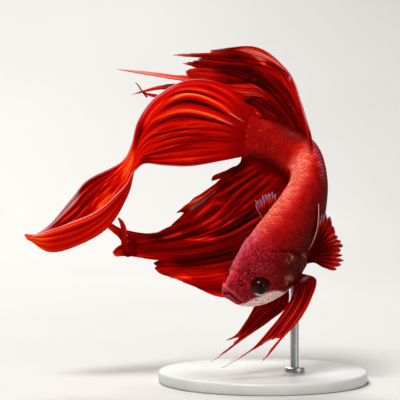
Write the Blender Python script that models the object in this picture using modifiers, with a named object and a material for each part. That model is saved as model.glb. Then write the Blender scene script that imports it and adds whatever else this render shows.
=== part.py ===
"""Betta fish caught in a tight turn, life size, held over a plain display stand.

Metres, +Z up. The origin is the middle of the underside of the stand's base.
The body is one loft along a bent spine, parted into head, trunk lengths and tail stalk by thin gaps.
Every fin is a sheet laid over a few guide rays and thickened.
"""

import math

import bmesh
import bpy
import numpy as np
from mathutils import Matrix, Vector

# ---- driving dimensions, in millimetres -----------------------------------------------------------
MM = 0.001
GAP = 0.3                  # clear space between neighbouring solids
FIN_THICKNESS = 0.5
FOLD_HEIGHT = 0.3          # how far a fin's folds swing to each side

EYE_RADIUS = 1.75
EYE_ALONG = 0.1185         # the eye's place, as a share of the body's length
EYE_OUT = 4.3              # the eye's centre from the middle plane
EYE_UP = 0.1               # the eye's centre above the spine

GILL_ALONG = 0.238         # the gill cover's middle, as a share of the body's length
GILL_OUT = 4.5             # its middle from the middle plane
GILL_DOWN = 0.8            # its middle below the spine
GILL_RADII = (2.0, 3.9, 1.6)      # half sizes along, up and across

JAW_BACK = 0.125           # the jaw's hinge, as a share of the body's length
JAW_DOWN = 4.0             # the hinge's depth below the spine
MOUTH_TILT = 34.0          # the slit's climb towards the snout, in degrees
JAW_BLOCK = (12.0, 12.0, 8.0)     # the block that takes the jaw out of the head

BASE_RADIUS = 20.0
BASE_HEIGHT = 2.2
BASE_BEVEL = 0.6
ROD_RADIUS = 0.8
ROD_AT = (18.0, -2.5)      # the rod's axis in the fish's frame
ROD_TIP = -8.0             # its top end, inside the belly, in the fish's frame

BODY_SIDES = 20
BODY_STEPS = 40            # rings from the snout to the tail's root

# Where the fish's own frame sits in the stand's.
FISH_PLACE = (-12.0, 0.5, 34.8)

# ---- the body's spine, snout first, in the fish's frame: x right, y back, z up --------------------
SPINE = [
    (4.2, -11.2, -17.3), (8.9, -10.2, -14.5), (13.2, -8.9, -10.9), (16.5, -7.1, -6.4), (19.2, -4.7, -1.8),
    (20.6, -1.9, 3.0), (19.7, 1.5, 7.4), (17.0, 4.4, 9.8), (12.8, 5.2, 11.6), (8.6, 4.8, 12.9),
]
# Which way the back faces at each of those points.
BACK = [
    (-0.37, -0.48, 0.80), (-0.40, -0.50, 0.77), (-0.40, -0.66, 0.63), (-0.27, -0.69, 0.67),
    (-0.20, -0.71, 0.67), (0.08, -0.74, 0.67), (0.35, -0.58, 0.70), (0.42, -0.36, 0.82),
    (0.30, -0.20, 0.93), (0.20, -0.10, 0.97),
]
# Body sections: share of the length, height above the spine, depth below it, half width.
SECTIONS = [
    (0.000, 0.40, 0.70, 0.80), (0.015, 1.00, 2.35, 1.60), (0.045, 1.90, 4.15, 2.50), (0.10, 3.60, 5.90, 4.25),
    (0.18, 5.60, 7.10, 5.20), (0.28, 6.60, 7.40, 5.20), (0.38, 6.50, 7.20, 4.85), (0.50, 5.95, 6.40, 4.25),
    (0.65, 5.20, 5.30, 3.40), (0.80, 4.55, 4.50, 2.60), (0.92, 4.10, 4.05, 1.75), (1.00, 3.95, 3.95, 1.15),
]
# Where the body is parted, as shares of its length.
PARTINGS = {
    "head": (0.0, 0.285), "trunk_front": (0.285, 0.47), "trunk_middle": (0.47, 0.655),
    "trunk_rear": (0.655, 0.835), "tail_stalk": (0.835, 1.0),
}

# ---- the fins' guide rays, in the fish's frame ----------------------------------------------------
# A fin has its guide rays at even values of u, 0 to 1 across the fin. A row is one ray's points after
# its foot on the body. A reach list holds pairs of u and the share of its ray that is kept there.

# Dorsal fin: its rays sweep up and back, and two of them run on as streamers.
DORSAL_BASE = (0.63, 0.985)       # from and to, as shares of the body's length
DORSAL_RAYS = [
    [(21.0, -1.0, 12.7), (19.7, 3.5, 18.5), (17.1, 6.5, 25.4), (11.1, 9.0, 30.4), (1.8, 10.0, 30.0)],
    [(20.0, 2.0, 14.9), (18.1, 6.5, 21.1), (14.2, 9.5, 26.5), (5.2, 12.0, 28.6), (-5.4, 12.0, 29.2)],
    [(17.8, 4.5, 16.4), (13.8, 9.5, 22.3), (7.6, 12.0, 25.8), (1.4, 13.0, 26.9), (-3.4, 12.5, 27.4)],
    [(15.0, 6.5, 17.7), (10.0, 11.5, 22.1), (3.2, 14.0, 23.9), (-6.1, 14.0, 25.0), (-16.7, 12.0, 26.3)],
    [(12.3, 8.0, 18.2), (7.1, 13.0, 20.8), (0.6, 15.0, 22.4), (-7.1, 15.0, 23.0), (-13.9, 13.0, 21.3)],
    [(9.2, 9.0, 17.9), (4.4, 13.0, 18.8), (-1.2, 15.0, 18.9), (-6.1, 15.5, 19.2), (-10.2, 15.0, 19.1)],
]
DORSAL_REACH = [(0.0, 1.0), (0.1, 0.93), (0.2, 1.0), (0.27, 0.9), (0.33, 0.98), (0.4, 1.0), (0.46, 0.8),
                (0.555, 0.66), (0.6, 1.0), (0.645, 0.68), (0.7, 0.72), (0.755, 0.76), (0.8, 1.0),
                (0.845, 0.78), (0.92, 0.85), (1.0, 0.9)]

# Anal fin: it trails behind the body and draws out to a ragged corner.
ANAL_BASE = (0.985, 0.46)
ANAL_RAYS = [
    [(7.9, 7.5, 7.3), (6.5, 8.0, 6.5), (5.2, 8.5, 5.8), (3.8, 9.0, 5.2), (2.6, 9.5, 4.6)],
    [(7.9, 8.0, 5.4), (4.4, 9.0, 2.8), (1.2, 10.0, 0.6), (-2.0, 10.5, -1.4), (-4.8, 10.5, -2.6)],
    [(8.5, 8.5, 3.8), (4.4, 9.5, 0.8), (0.0, 10.5, -2.0), (-4.4, 11.0, -4.6), (-8.0, 11.0, -6.8)],
    [(9.0, 9.0, 2.2), (3.4, 10.5, -1.6), (-3.0, 11.0, -5.2), (-10.0, 10.5, -7.2), (-18.5, 8.5, -5.1)],
    [(9.6, 9.0, 0.2), (3.4, 10.5, -3.8), (-3.0, 11.5, -6.8), (-10.4, 10.5, -8.2), (-16.3, 9.0, -7.2)],
    [(10.6, 9.5, -2.4), (4.4, 11.0, -6.0), (-2.8, 11.5, -8.4), (-10.4, 10.0, -9.4), (-16.1, 9.5, -9.4)],
    [(12.1, 9.0, -5.6), (5.2, 11.0, -9.0), (-2.4, 11.0, -10.6), (-10.0, 10.0, -10.6), (-17.4, 10.0, -11.0)],
    [(14.5, 8.5, -9.9), (7.6, 10.5, -13.2), (1.0, 11.0, -14.6), (-4.4, 10.5, -14.8), (-8.4, 10.0, -14.4)],
    [(17.2, 7.0, -14.2), (11.5, 8.0, -17.8), (7.6, 9.0, -19.3), (4.4, 9.5, -19.3), (0.0, 10.0, -17.8)],
]
ANAL_REACH = [(0.0, 1.0), (0.06, 0.75), (0.125, 1.0), (0.25, 1.0), (0.31, 0.8), (0.35, 0.84), (0.375, 1.0),
              (0.43, 0.9), (0.5, 1.0), (0.56, 0.95), (0.625, 1.0), (0.75, 1.0), (0.8, 0.83), (0.875, 1.0),
              (1.0, 1.0)]

# Tail fin: its rays arch over, draw together at a waist and open into a long trough. The upper edge runs
# along the trough's far rim, and the lower edge is folded up in front of it.
TAIL_RAYS = [
    [(5.5, 6.5, 22.3), (-2.0, 7.0, 23.6), (-8.6, 7.0, 20.3), (-12.2, 6.5, 15.6), (-13.6, 6.0, 10.6),
     (-15.7, 5.5, 7.3), (-21.8, 3.5, 4.0), (-24.8, 2.0, 0.4), (-28.9, 0.5, -4.6), (-31.7, -0.5, -6.5)],
    [(4.3, 5.0, 20.0), (-2.7, 5.0, 21.6), (-8.4, 5.0, 18.4), (-11.6, 5.0, 13.3), (-13.1, 4.2, 8.8),
     (-15.2, 3.5, 4.9), (-20.8, 2.5, 0.2), (-24.8, 1.5, -3.7), (-29.2, 0.0, -6.5), (-32.4, -1.0, -6.6)],
    [(3.5, 4.0, 16.8), (-3.1, 3.5, 18.1), (-8.4, 3.5, 15.6), (-11.7, 3.2, 11.3), (-13.0, 2.5, 7.2),
     (-14.7, 2.0, 2.3), (-18.8, 1.5, -3.3), (-23.1, 0.5, -6.7), (-28.8, -0.5, -8.8), (-33.5, -1.5, -6.6)],
    [(3.3, 4.0, 13.7), (-3.1, 3.5, 14.4), (-8.0, 3.0, 12.4), (-11.2, 2.0, 9.5), (-12.7, 1.0, 6.2),
     (-14.0, 0.5, 1.2), (-17.5, 0.0, -4.8), (-22.6, -1.0, -8.2), (-28.6, -2.0, -9.9), (-33.4, -2.0, -7.0)],
    [(3.5, 4.5, 10.2), (-2.3, 4.0, 10.2), (-7.4, 3.0, 9.5), (-11.0, 1.0, 8.2), (-12.5, -1.5, 5.9),
     (-13.8, -3.0, 1.9), (-17.5, -3.5, -3.4), (-22.7, -4.0, -7.0), (-28.4, -4.0, -8.5),
     (-32.5, -3.0, -7.4)],
    [(4.1, 5.5, 7.7), (-2.0, 5.0, 6.7), (-7.2, 3.5, 6.8), (-10.8, 1.0, 7.0), (-12.7, -3.0, 5.1),
     (-14.1, -5.0, 2.5), (-19.0, -6.0, -2.1), (-24.5, -5.5, -4.4), (-29.1, -4.5, -6.0),
     (-31.5, -3.5, -6.8)],
]

# Breast fins.
PECTORAL_LEFT = [
    [(20.6, -9.5, -8.5), (21.5, -10.0, -5.9), (21.9, -9.5, -3.3), (21.9, -9.0, -0.7)],
    [(21.0, -9.0, -8.5), (22.3, -9.0, -6.3), (23.3, -8.0, -3.9), (23.8, -7.0, -1.5)],
    [(21.4, -8.5, -9.1), (22.9, -8.0, -8.0), (24.7, -7.0, -6.9), (26.0, -6.0, -6.4)],
    [(21.6, -8.0, -9.9), (23.5, -7.5, -9.2), (25.5, -6.5, -8.8), (27.1, -5.5, -8.8)],
    [(21.6, -8.0, -10.8), (23.5, -7.5, -11.0), (25.5, -6.5, -11.2), (27.3, -5.5, -11.3)],
    [(21.2, -8.5, -11.7), (22.7, -8.0, -12.5), (24.5, -7.5, -13.2), (26.0, -7.0, -13.5)],
]
PECTORAL_RIGHT = [
    [(11.9, -1.5, -3.6), (11.4, 0.5, -2.5), (10.8, 1.5, -1.5), (10.2, 2.5, -0.6)],
    [(12.2, -1.8, -3.4), (11.7, 0.3, -2.1), (11.2, 1.2, -0.8), (10.8, 2.0, 0.6)],
    [(12.6, -2.0, -3.2), (12.3, 0.0, -1.7), (12.2, 0.8, -0.2), (12.0, 1.5, 1.4)],
    [(13.2, -2.2, -3.1), (13.2, -0.3, -1.3), (13.3, 0.4, 0.4), (13.5, 1.0, 1.8)],
    [(13.7, -2.4, -2.9), (14.0, -0.6, -1.3), (14.5, 0.0, 0.2), (15.1, 0.5, 1.6)],
]
PELVIC_LEFT = [
    [(21.7, -7.0, -14.8), (20.5, -10.0, -18.3), (18.2, -12.0, -22.0), (15.0, -13.5, -25.2),
     (11.4, -15.0, -29.1)],
    [(19.6, -7.5, -16.4), (17.8, -10.0, -20.5), (15.6, -12.0, -23.1), (14.1, -13.0, -24.8),
     (12.9, -13.5, -25.9)],
    [(17.4, -7.5, -17.6), (15.3, -10.5, -20.7), (12.6, -12.5, -23.8), (9.1, -14.5, -27.3),
     (4.0, -16.0, -30.3)],
]
PELVIC_RIGHT = [
    [(16.6, -5.0, -19.4), (13.1, -7.0, -22.6), (9.1, -9.0, -25.1), (5.5, -10.5, -27.3),
     (1.9, -12.0, -29.7)],
    [(14.0, -5.0, -19.2), (11.2, -6.5, -22.1), (8.8, -8.0, -24.4), (7.4, -9.0, -25.5), (6.7, -9.5, -26.1)],
    [(10.9, -5.0, -19.0), (9.4, -6.5, -21.4), (7.8, -8.0, -23.7), (6.5, -9.0, -25.2), (4.9, -9.5, -26.0)],
]
# Each paired fin's foot is a short line round the flank: its share of the length, and from and to in degrees,
# where 0 is the body's left and 90 its back. Then the ray rows, the columns and the rows of its sheet.
PAIRED_FINS = {
    "pectoral_fin_left": (0.30, -8, -40, PECTORAL_LEFT, 8, 6),
    "pectoral_fin_right": (0.30, 188, 220, PECTORAL_RIGHT, 8, 6),
    "pelvic_fin_left": (0.27, -50, -78, PELVIC_LEFT, 7, 9),
    "pelvic_fin_right": (0.27, -100, -120, PELVIC_RIGHT, 7, 9),
}

# The tail fin is parted along one ray into its lobes, and across its waist into two lengths:
# from, to and the number of columns or rows.
LOBES = {"upper": (0.0, 0.58, 15), "lower": (0.62, 1.0, 11)}
LENGTHS = {"fan": (0.0, 0.492, 10), "blade": (0.508, 1.0, 11)}
TAIL_FOLDS, DORSAL_FOLDS, ANAL_FOLDS = 6, 5, 6


# ---- curves and places ----------------------------------------------------------------------------
def smooth(keys, rows, at):
    """Read a smooth curve through rows, one row for each key, at the given values."""
    keys = np.asarray(keys, float)
    rows = np.asarray(rows, float)
    at = np.clip(np.atleast_1d(np.asarray(at, float)), keys[0], keys[-1])
    slopes = np.gradient(rows, keys, axis=0).reshape(len(keys), -1)
    flat = rows.reshape(len(keys), -1)
    low = np.clip(np.searchsorted(keys, at, side="right") - 1, 0, len(keys) - 2)
    step = (keys[low + 1] - keys[low])[:, None]
    s = (at - keys[low])[:, None] / step
    out = (2 * s**3 - 3 * s**2 + 1) * flat[low] + (s**3 - 2 * s**2 + s) * step * slopes[low]
    out += (3 * s**2 - 2 * s**3) * flat[low + 1] + (s**3 - s**2) * step * slopes[low + 1]
    return out.reshape((len(at),) + rows.shape[1:])


def unit(rows):
    """Rows turned to length one; a row of zeros stays one."""
    return rows / np.maximum(np.linalg.norm(rows, axis=-1, keepdims=True), 1e-9)


def even(count):
    return np.linspace(0.0, 1.0, count)


SPINE_STEPS = np.linalg.norm(np.diff(np.array(SPINE), axis=0), axis=1)
SPINE_KEYS = np.concatenate([[0.0], np.cumsum(SPINE_STEPS)]) / SPINE_STEPS.sum()
BODY_LENGTH = SPINE_STEPS.sum()
SECTION_TABLE = np.array(SECTIONS)


def body_frame(share):
    """At one share of the length: spine point, and the directions to the tail, the back and the left."""
    nudge = 0.004
    point, ahead, behind = smooth(SPINE_KEYS, SPINE, [share, share - nudge, share + nudge])
    along = unit(behind - ahead)
    back = smooth(SPINE_KEYS, BACK, share)[0]
    back = unit(back - along * (back @ along))
    return point, along, back, np.cross(along, back)


def body_point(share, angle, proud=0.0):
    """Point on the body's surface. Angle 0 is its left, a quarter turn its back; proud stands off it."""
    point, _, back, left = body_frame(share)
    up, down, half = smooth(SECTION_TABLE[:, 0], SECTION_TABLE[:, 1:], share)[0]
    tall = up if math.sin(angle) > 0 else down
    return point + left * (half + proud) * math.cos(angle) + back * (tall + proud) * math.sin(angle)


def place(rows):
    """Fish frame in millimetres to the model's frame in metres."""
    return (np.asarray(rows, float) + np.array(FISH_PLACE)) * MM


# ---- objects and materials ------------------------------------------------------------------------
for old in list(bpy.data.objects):
    bpy.data.objects.remove(old, do_unlink=True)

fish_parts = bpy.data.collections.new("betta_fish")
cutters = bpy.data.collections.new("cutters")
for group in (fish_parts, cutters):
    bpy.context.scene.collection.children.link(group)


def paint(name, color, roughness, metallic=0.0):
    """A plain Principled material."""
    material = bpy.data.materials.new(name)
    material.use_nodes = True
    shader = material.node_tree.nodes["Principled BSDF"]
    shader.inputs["Base Color"].default_value = (*color, 1.0)
    shader.inputs["Roughness"].default_value = roughness
    shader.inputs["Metallic"].default_value = metallic
    return material


skin_red = paint("scaled_skin", (0.45, 0.012, 0.01), 0.38)
head_red = paint("head_skin", (0.30, 0.008, 0.02), 0.42)
jaw_cream = paint("jaw_skin", (0.75, 0.45, 0.38), 0.45)
fin_red = paint("fin_membrane", (0.55, 0.01, 0.006), 0.45)
eye_dark = paint("eye", (0.03, 0.005, 0.006), 0.08)
base_white = paint("stand_base", (0.80, 0.80, 0.78), 0.35)
rod_steel = paint("stand_rod", (0.60, 0.60, 0.60), 0.30, 1.0)


def finish(name, work, group, material=None):
    """A named object from a bmesh, faces turned outwards and shaded smooth."""
    bmesh.ops.recalc_face_normals(work, faces=work.faces)
    mesh = bpy.data.meshes.new(name)
    work.to_mesh(mesh)
    work.free()
    mesh.shade_smooth()
    if material:
        mesh.materials.append(material)
    made = bpy.data.objects.new(name, mesh)
    group.objects.link(made)
    if group is cutters:
        made.hide_render = True
        made.display_type = "WIRE"
    return made


def from_points(name, points, faces, group, material):
    """An object from points in millimetres in the fish's frame and its faces' corners."""
    work = bmesh.new()
    corners = [work.verts.new(point) for point in place(points)]
    for face in faces:
        work.faces.new([corners[corner] for corner in face])
    return finish(name, work, group, material)


def stretched(work, centre, axes, sizes):
    """Bring a unit shape to its place: three directions, a size along each, and its centre."""
    turn = Matrix([[axes[col][row] * sizes[col] * MM for col in range(3)] for row in range(3)]).to_4x4()
    turn.translation = Vector(place(centre))
    bmesh.ops.transform(work, matrix=turn, verts=work.verts)


def ball(name, centre, axes, radii, group, detail, material=None):
    """An ellipsoid with the given half sizes along its axes."""
    work = bmesh.new()
    bmesh.ops.create_uvsphere(work, u_segments=detail, v_segments=detail * 5 // 8, radius=1.0)
    stretched(work, centre, axes, radii)
    return finish(name, work, group, material)


def block(name, centre, axes, sizes, group):
    """A box with the given sizes along its axes."""
    work = bmesh.new()
    bmesh.ops.create_cube(work, size=1.0)
    stretched(work, centre, axes, sizes)
    return finish(name, work, group)


def boolean(target, cutter, operation):
    """Cut away another object, or keep what is shared with it."""
    step = target.modifiers.new(operation.lower() + "_" + cutter.name, "BOOLEAN")
    step.operation = operation
    step.object = cutter
    step.solver = "EXACT"


# ---- body -----------------------------------------------------------------------------------------
HALF_GAP = GAP / 2 / BODY_LENGTH
EXTRA_SNOUT_RINGS = 4


def body_part(name, start, end, material):
    """A closed length of the body between two shares of its length, short of each parting by half a gap."""
    start = start + HALF_GAP if start > 0 else start
    end = end - HALF_GAP if end < 1 else end
    steps = max(5, round(BODY_STEPS * (end - start)))
    if start == 0:
        shares = end * even(steps + EXTRA_SNOUT_RINGS) ** 1.5
    else:
        shares = np.linspace(start, end, steps + 1)
    angles = [2 * math.pi * side / BODY_SIDES for side in range(BODY_SIDES)]
    points = [body_point(share, angle) for share in shares for angle in angles]
    last = len(points) - BODY_SIDES
    faces = [list(range(BODY_SIDES)), list(range(last, len(points)))]
    for first in range(0, last, BODY_SIDES):
        for side in range(BODY_SIDES):
            here, beside = first + side, first + (side + 1) % BODY_SIDES
            faces.append([here, beside, beside + BODY_SIDES, here + BODY_SIDES])
    return from_points(name, points, faces, fish_parts, material)


lengths = {}
for part_name, (start, end) in PARTINGS.items():
    lengths[part_name] = body_part(part_name, start, end, head_red if part_name == "head" else skin_red)
head = lengths["head"]
head_end = PARTINGS["head"][1]

# Lower jaw: what lies under the mouth slit, which climbs to the snout.
_, along, back, left = body_frame(JAW_BACK / 2)
slit = back * math.sin(math.radians(MOUTH_TILT)) - along * math.cos(math.radians(MOUTH_TILT))
under = np.cross(slit, left)
under = under if under @ back < 0 else -under
hinge_point, _, hinge_back, _ = body_frame(JAW_BACK)
hinge = hinge_point - hinge_back * JAW_DOWN


def jaw_block(name, grown):
    """The block whose top is the mouth slit and whose rear is the hinge, grown by a gap on both."""
    corner = hinge - (slit + under) * grown
    centre = corner + slit * JAW_BLOCK[1] / 2 + under * JAW_BLOCK[2] / 2
    return block(name, centre, (left, slit, under), JAW_BLOCK, cutters)


jaw = body_part("lower_jaw", 0.0, head_end, jaw_cream)
boolean(jaw, jaw_block("jaw_shape", 0.0), "INTERSECT")
boolean(head, jaw_block("jaw_seat", GAP), "DIFFERENCE")

GILL_DETAIL, EYE_DETAIL, SOCKET_DETAIL = 18, 14, 14
for side_name, side in (("left", 1), ("right", -1)):
    # The gill cover is a lens-shaped plate let into the side of the head.
    point, along, back, left = body_frame(GILL_ALONG)
    centre = point - back * GILL_DOWN + left * side * GILL_OUT
    axes = (along, back, left)
    seat = ball("gill_seat_" + side_name, centre, axes, [r + GAP for r in GILL_RADII], cutters, GILL_DETAIL)
    shape = ball("gill_shape_" + side_name, centre, axes, GILL_RADII, cutters, GILL_DETAIL)
    cover = body_part("gill_cover_" + side_name, JAW_BACK, head_end, head_red)
    boolean(cover, shape, "INTERSECT")
    boolean(head, seat, "DIFFERENCE")

    # The eye is a ball in a socket.
    point, along, back, left = body_frame(EYE_ALONG)
    centre = point + back * EYE_UP + left * side * EYE_OUT
    axes = (along, back, left)
    ball("eye_" + side_name, centre, axes, (EYE_RADIUS,) * 3, fish_parts, EYE_DETAIL, eye_dark)
    socket = ball("socket_" + side_name, centre, axes, (EYE_RADIUS + GAP,) * 3, cutters, SOCKET_DETAIL)
    boolean(head, socket, "DIFFERENCE")


# ---- fins -----------------------------------------------------------------------------------------
FOOT = GAP + FIN_THICKNESS / 2     # how far a fin's middle sheet starts from the body
EVEN_PART = 0.7                    # the share of a fin's rows that lie within its outline's deepest notch


def fin_sheet(foot, rays, at_u, at_v, reach=None, folds=0):
    """Grid of points over guide rays: foot(u) gives the start of each ray, v runs from foot to tip."""
    across = smooth(even(len(rays)), rays, at_u)
    inner = 0.95 * min(share for _, share in reach) if reach else 1.0
    grid = []
    for column, u in zip(across, at_u):
        # All columns keep their even steps as far as the outline's deepest notch, then run to their own end.
        ray = np.vstack([foot(u), column])
        kept = np.interp(u, *zip(*reach)) if reach else 1.0
        shares = np.interp(at_v, (0.0, EVEN_PART, 1.0), (0.0, inner, kept)) if reach else at_v
        grid.append(smooth(even(len(ray)), ray, shares))
    grid = np.array(grid)
    if folds:
        facing = unit(np.cross(np.gradient(grid, axis=0), np.gradient(grid, axis=1)))
        wave = np.sin(2 * math.pi * folds * np.asarray(at_u))
        swell = np.sin(math.pi / 2 * np.minimum(np.asarray(at_v) * 1.6, 1.0))
        grid = grid + facing * FOLD_HEIGHT * (wave[:, None] * swell)[:, :, None]
    return grid


def fin_part(name, grid):
    """A sheet over a grid of points, thickened evenly to both sides."""
    columns, rows = grid.shape[:2]
    faces = []
    for first in range(0, (columns - 1) * rows, rows):
        for here in range(first, first + rows - 1):
            faces.append([here, here + rows, here + rows + 1, here + 1])
    made = from_points(name, grid.reshape(-1, 3), faces, fish_parts, fin_red)
    wall = made.modifiers.new("thickness", "SOLIDIFY")
    wall.thickness = FIN_THICKNESS * MM
    wall.offset = 0.0


def edge_foot(base, angle):
    """Foot of a fin that stands along the back or the belly."""
    def foot(u):
        return body_point(base[0] + (base[1] - base[0]) * u, angle, FOOT)
    return foot


def flank_foot(share, start, end):
    """Foot of a paired fin, round the flank from one angle to another, in degrees."""
    def foot(u):
        return body_point(share, math.radians(start + (end - start) * u), FOOT)
    return foot


def tail_foot(u):
    """Foot of the tail fin: down the end of the tail stalk, bowed outwards."""
    point, along, back, _ = body_frame(1.0)
    up, down, _ = SECTIONS[-1][1:]
    return point + back * (up - (up + down) * u) + along * (GAP + 0.6 * math.sin(math.pi * u))


def columns(count, reach):
    """Even values of u, with one more at each turn of the fin's outline."""
    return np.unique(np.round(np.concatenate([even(count), [pair[0] for pair in reach]]), 3))


fin_part("dorsal_fin", fin_sheet(edge_foot(DORSAL_BASE, math.pi / 2), DORSAL_RAYS,
                                 columns(12, DORSAL_REACH), even(11), DORSAL_REACH, DORSAL_FOLDS))
fin_part("anal_fin", fin_sheet(edge_foot(ANAL_BASE, -math.pi / 2), ANAL_RAYS,
                               columns(10, ANAL_REACH), even(11), ANAL_REACH, ANAL_FOLDS))
for lobe, (u_start, u_end, u_count) in LOBES.items():
    for length, (v_start, v_end, v_count) in LENGTHS.items():
        sheet = fin_sheet(tail_foot, TAIL_RAYS, np.linspace(u_start, u_end, u_count),
                          np.linspace(v_start, v_end, v_count), folds=TAIL_FOLDS)
        fin_part("caudal_fin_" + lobe + "_" + length, sheet)
for fin_name, (share, start, end, rays, u_count, v_count) in PAIRED_FINS.items():
    fin_part(fin_name, fin_sheet(flank_foot(share, start, end), rays, even(u_count), even(v_count)))

# ---- stand ----------------------------------------------------------------------------------------
ROUND_BASE, ROUND_ROD = 44, 16


def upright(name, at, radius, low, high, sides, group, material=None):
    """A vertical cylinder; all sizes in millimetres in the stand's frame."""
    work = bmesh.new()
    bmesh.ops.create_cone(work, cap_ends=True, segments=sides, radius1=1.0, radius2=1.0, depth=1.0)
    size = Matrix.Diagonal((radius * MM, radius * MM, (high - low) * MM, 1.0))
    size.translation = Vector((at[0] * MM, at[1] * MM, (low + high) / 2 * MM))
    bmesh.ops.transform(work, matrix=size, verts=work.verts)
    made = finish(name, work, group, material)
    made.data.set_sharp_from_angle(angle=math.radians(40))
    return made


base = upright("stand_base", (0.0, 0.0), BASE_RADIUS, 0.0, BASE_HEIGHT, ROUND_BASE, fish_parts, base_white)
soft_edge = base.modifiers.new("soft_edge", "BEVEL")
soft_edge.width = BASE_BEVEL * MM
soft_edge.segments = 2
soft_edge.limit_method = "ANGLE"

# The rod stands behind the breast fins and ends in a blind hole in the belly.
rod_at = (ROD_AT[0] + FISH_PLACE[0], ROD_AT[1] + FISH_PLACE[1])
rod_low, rod_high = BASE_HEIGHT + GAP, ROD_TIP + FISH_PLACE[2]
upright("stand_rod", rod_at, ROD_RADIUS, rod_low, rod_high, ROUND_ROD, fish_parts, rod_steel)
rod_hole = upright("rod_hole", rod_at, ROD_RADIUS + GAP, rod_low, rod_high + GAP, ROUND_ROD, cutters)
boolean(lengths["trunk_front"], rod_hole, "DIFFERENCE")
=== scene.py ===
import math
from functools import partial, reduce

import bpy
import numpy as np
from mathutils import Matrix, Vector


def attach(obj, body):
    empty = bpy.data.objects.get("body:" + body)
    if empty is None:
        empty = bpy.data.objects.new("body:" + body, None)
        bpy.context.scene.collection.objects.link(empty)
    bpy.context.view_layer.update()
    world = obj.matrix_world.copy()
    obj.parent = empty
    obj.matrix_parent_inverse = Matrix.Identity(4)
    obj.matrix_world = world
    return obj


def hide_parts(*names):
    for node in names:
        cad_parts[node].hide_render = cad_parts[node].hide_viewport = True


# Male betta fish, life size, in a tight turn over a plain stand.
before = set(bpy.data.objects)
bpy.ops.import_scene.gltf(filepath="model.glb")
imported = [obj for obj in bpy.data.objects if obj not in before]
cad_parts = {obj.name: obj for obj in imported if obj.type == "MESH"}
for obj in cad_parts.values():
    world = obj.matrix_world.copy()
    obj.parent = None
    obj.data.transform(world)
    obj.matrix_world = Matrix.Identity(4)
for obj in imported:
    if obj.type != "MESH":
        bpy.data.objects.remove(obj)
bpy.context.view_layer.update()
print("frame loaded:", len(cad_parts), "nodes")

mm = 0.001

# The body's middle line and what lies round it, in the fish's own frame in millimetres:
# x right, y back, z up. Its place is where that frame stands over the stand.
fish = {
    "place": (-12.0, 0.5, 34.8),
    "spine": [
        (4.2, -11.2, -17.3), (8.9, -10.2, -14.5), (13.2, -8.9, -10.9), (16.5, -7.1, -6.4), (19.2, -4.7, -1.8),
        (20.6, -1.9, 3), (19.7, 1.5, 7.4), (17, 4.4, 9.8), (12.8, 5.2, 11.6), (8.6, 4.8, 12.9),
    ],
    "back": [
        (-0.37, -0.48, 0.8), (-0.4, -0.5, 0.77), (-0.4, -0.66, 0.63), (-0.27, -0.69, 0.67),
        (-0.2, -0.71, 0.67), (0.08, -0.74, 0.67), (0.35, -0.58, 0.7), (0.42, -0.36, 0.82),
        (0.3, -0.2, 0.93), (0.2, -0.1, 0.97),
    ],
    # share of the length, height over the line, depth under it, half width
    "sections": [
        (0.000, 0.4, 0.7, 0.8), (0.015, 1.00, 2.35, 1.6), (0.045, 1.9, 4.15, 2.5),
        (0.1, 3.6, 5.9, 4.25), (0.18, 5.6, 7.1, 5.2), (0.28, 6.6, 7.4, 5.2),
        (0.38, 6.5, 7.2, 4.85), (0.5, 5.95, 6.4, 4.25), (0.65, 5.2, 5.3, 3.4),
        (0.8, 4.55, 4.5, 2.6), (0.92, 4.1, 4.05, 1.75), (1.00, 3.95, 3.95, 1.15),
    ],
    "snoutRounds": 0.006, "stalkThins": 0.9,   # shares where the snout is full and where the stalk thins out
    "stalkEnd": 0.1, "least": 0.02,            # half width at the stalk's end, and the least anywhere
    "coatDepth": 0.12,                         # how far the skin lies under the scales' outer face
    "alongHead": 150, "alongTrunk": 190,       # skin rows on the head, and behind it
    "around": 208, "headShare": 0.3,           # skin columns, and the share where the head's rows end
}


# ---- curves, places and small helpers
def unit(rows):
    return rows / np.maximum(np.linalg.norm(rows, axis=-1, keepdims=True), 1e-9)


def ramp(low, high, x):
    t = np.clip((np.asarray(x, float) - low) / (high - low), 0.0, 1.0)
    return t * t * (3 - 2 * t)


def bump(x, middle, width):
    return np.exp(-(((np.asarray(x, float) - middle) / width) ** 2))


def fall(low, high, x):
    return 1 - ramp(low, high, x)


def strongest(*fields):
    return reduce(np.maximum, fields)


def smoothCurve(keys, rows, at):
    # a smooth curve through rows, one for each key, read at the given values
    keys, rows = np.asarray(keys, float), np.asarray(rows, float)
    at = np.clip(np.atleast_1d(np.asarray(at, float)), keys[0], keys[-1])
    slopes = np.gradient(rows, keys, axis=0).reshape(len(keys), -1)
    flat = rows.reshape(len(keys), -1)
    low = np.clip(np.searchsorted(keys, at, side="right") - 1, 0, len(keys) - 2)
    step = (keys[low + 1] - keys[low])[:, None]
    s = (at - keys[low])[:, None] / step
    out = (2 * s**3 - 3 * s**2 + 1) * flat[low] + (s**3 - 2 * s**2 + s) * step * slopes[low]
    out += (3 * s**2 - 2 * s**3) * flat[low + 1] + (s**3 - s**2) * step * slopes[low + 1]
    return out.reshape((len(at),) + rows.shape[1:])


spineSteps = np.linalg.norm(np.diff(np.array(fish["spine"]), axis=0), axis=1)
spineKeys = np.concatenate([[0.0], np.cumsum(spineSteps)]) / spineSteps.sum()
bodyLength = spineSteps.sum()
sectionTable = np.array(fish["sections"])


def bodyFrames(shares):
    # at each share of the length: point, and the directions to the tail, the back and the left
    nudge = 0.004
    shares = np.atleast_1d(np.asarray(shares, float))
    points = smoothCurve(spineKeys, fish["spine"], shares)
    after, before = [smoothCurve(spineKeys, fish["spine"], shares + way) for way in (nudge, -nudge)]
    along = unit(after - before)
    back = smoothCurve(spineKeys, fish["back"], shares)
    back = unit(back - along * (back * along).sum(-1, keepdims=True))
    return points, along, back, np.cross(along, back)


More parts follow.
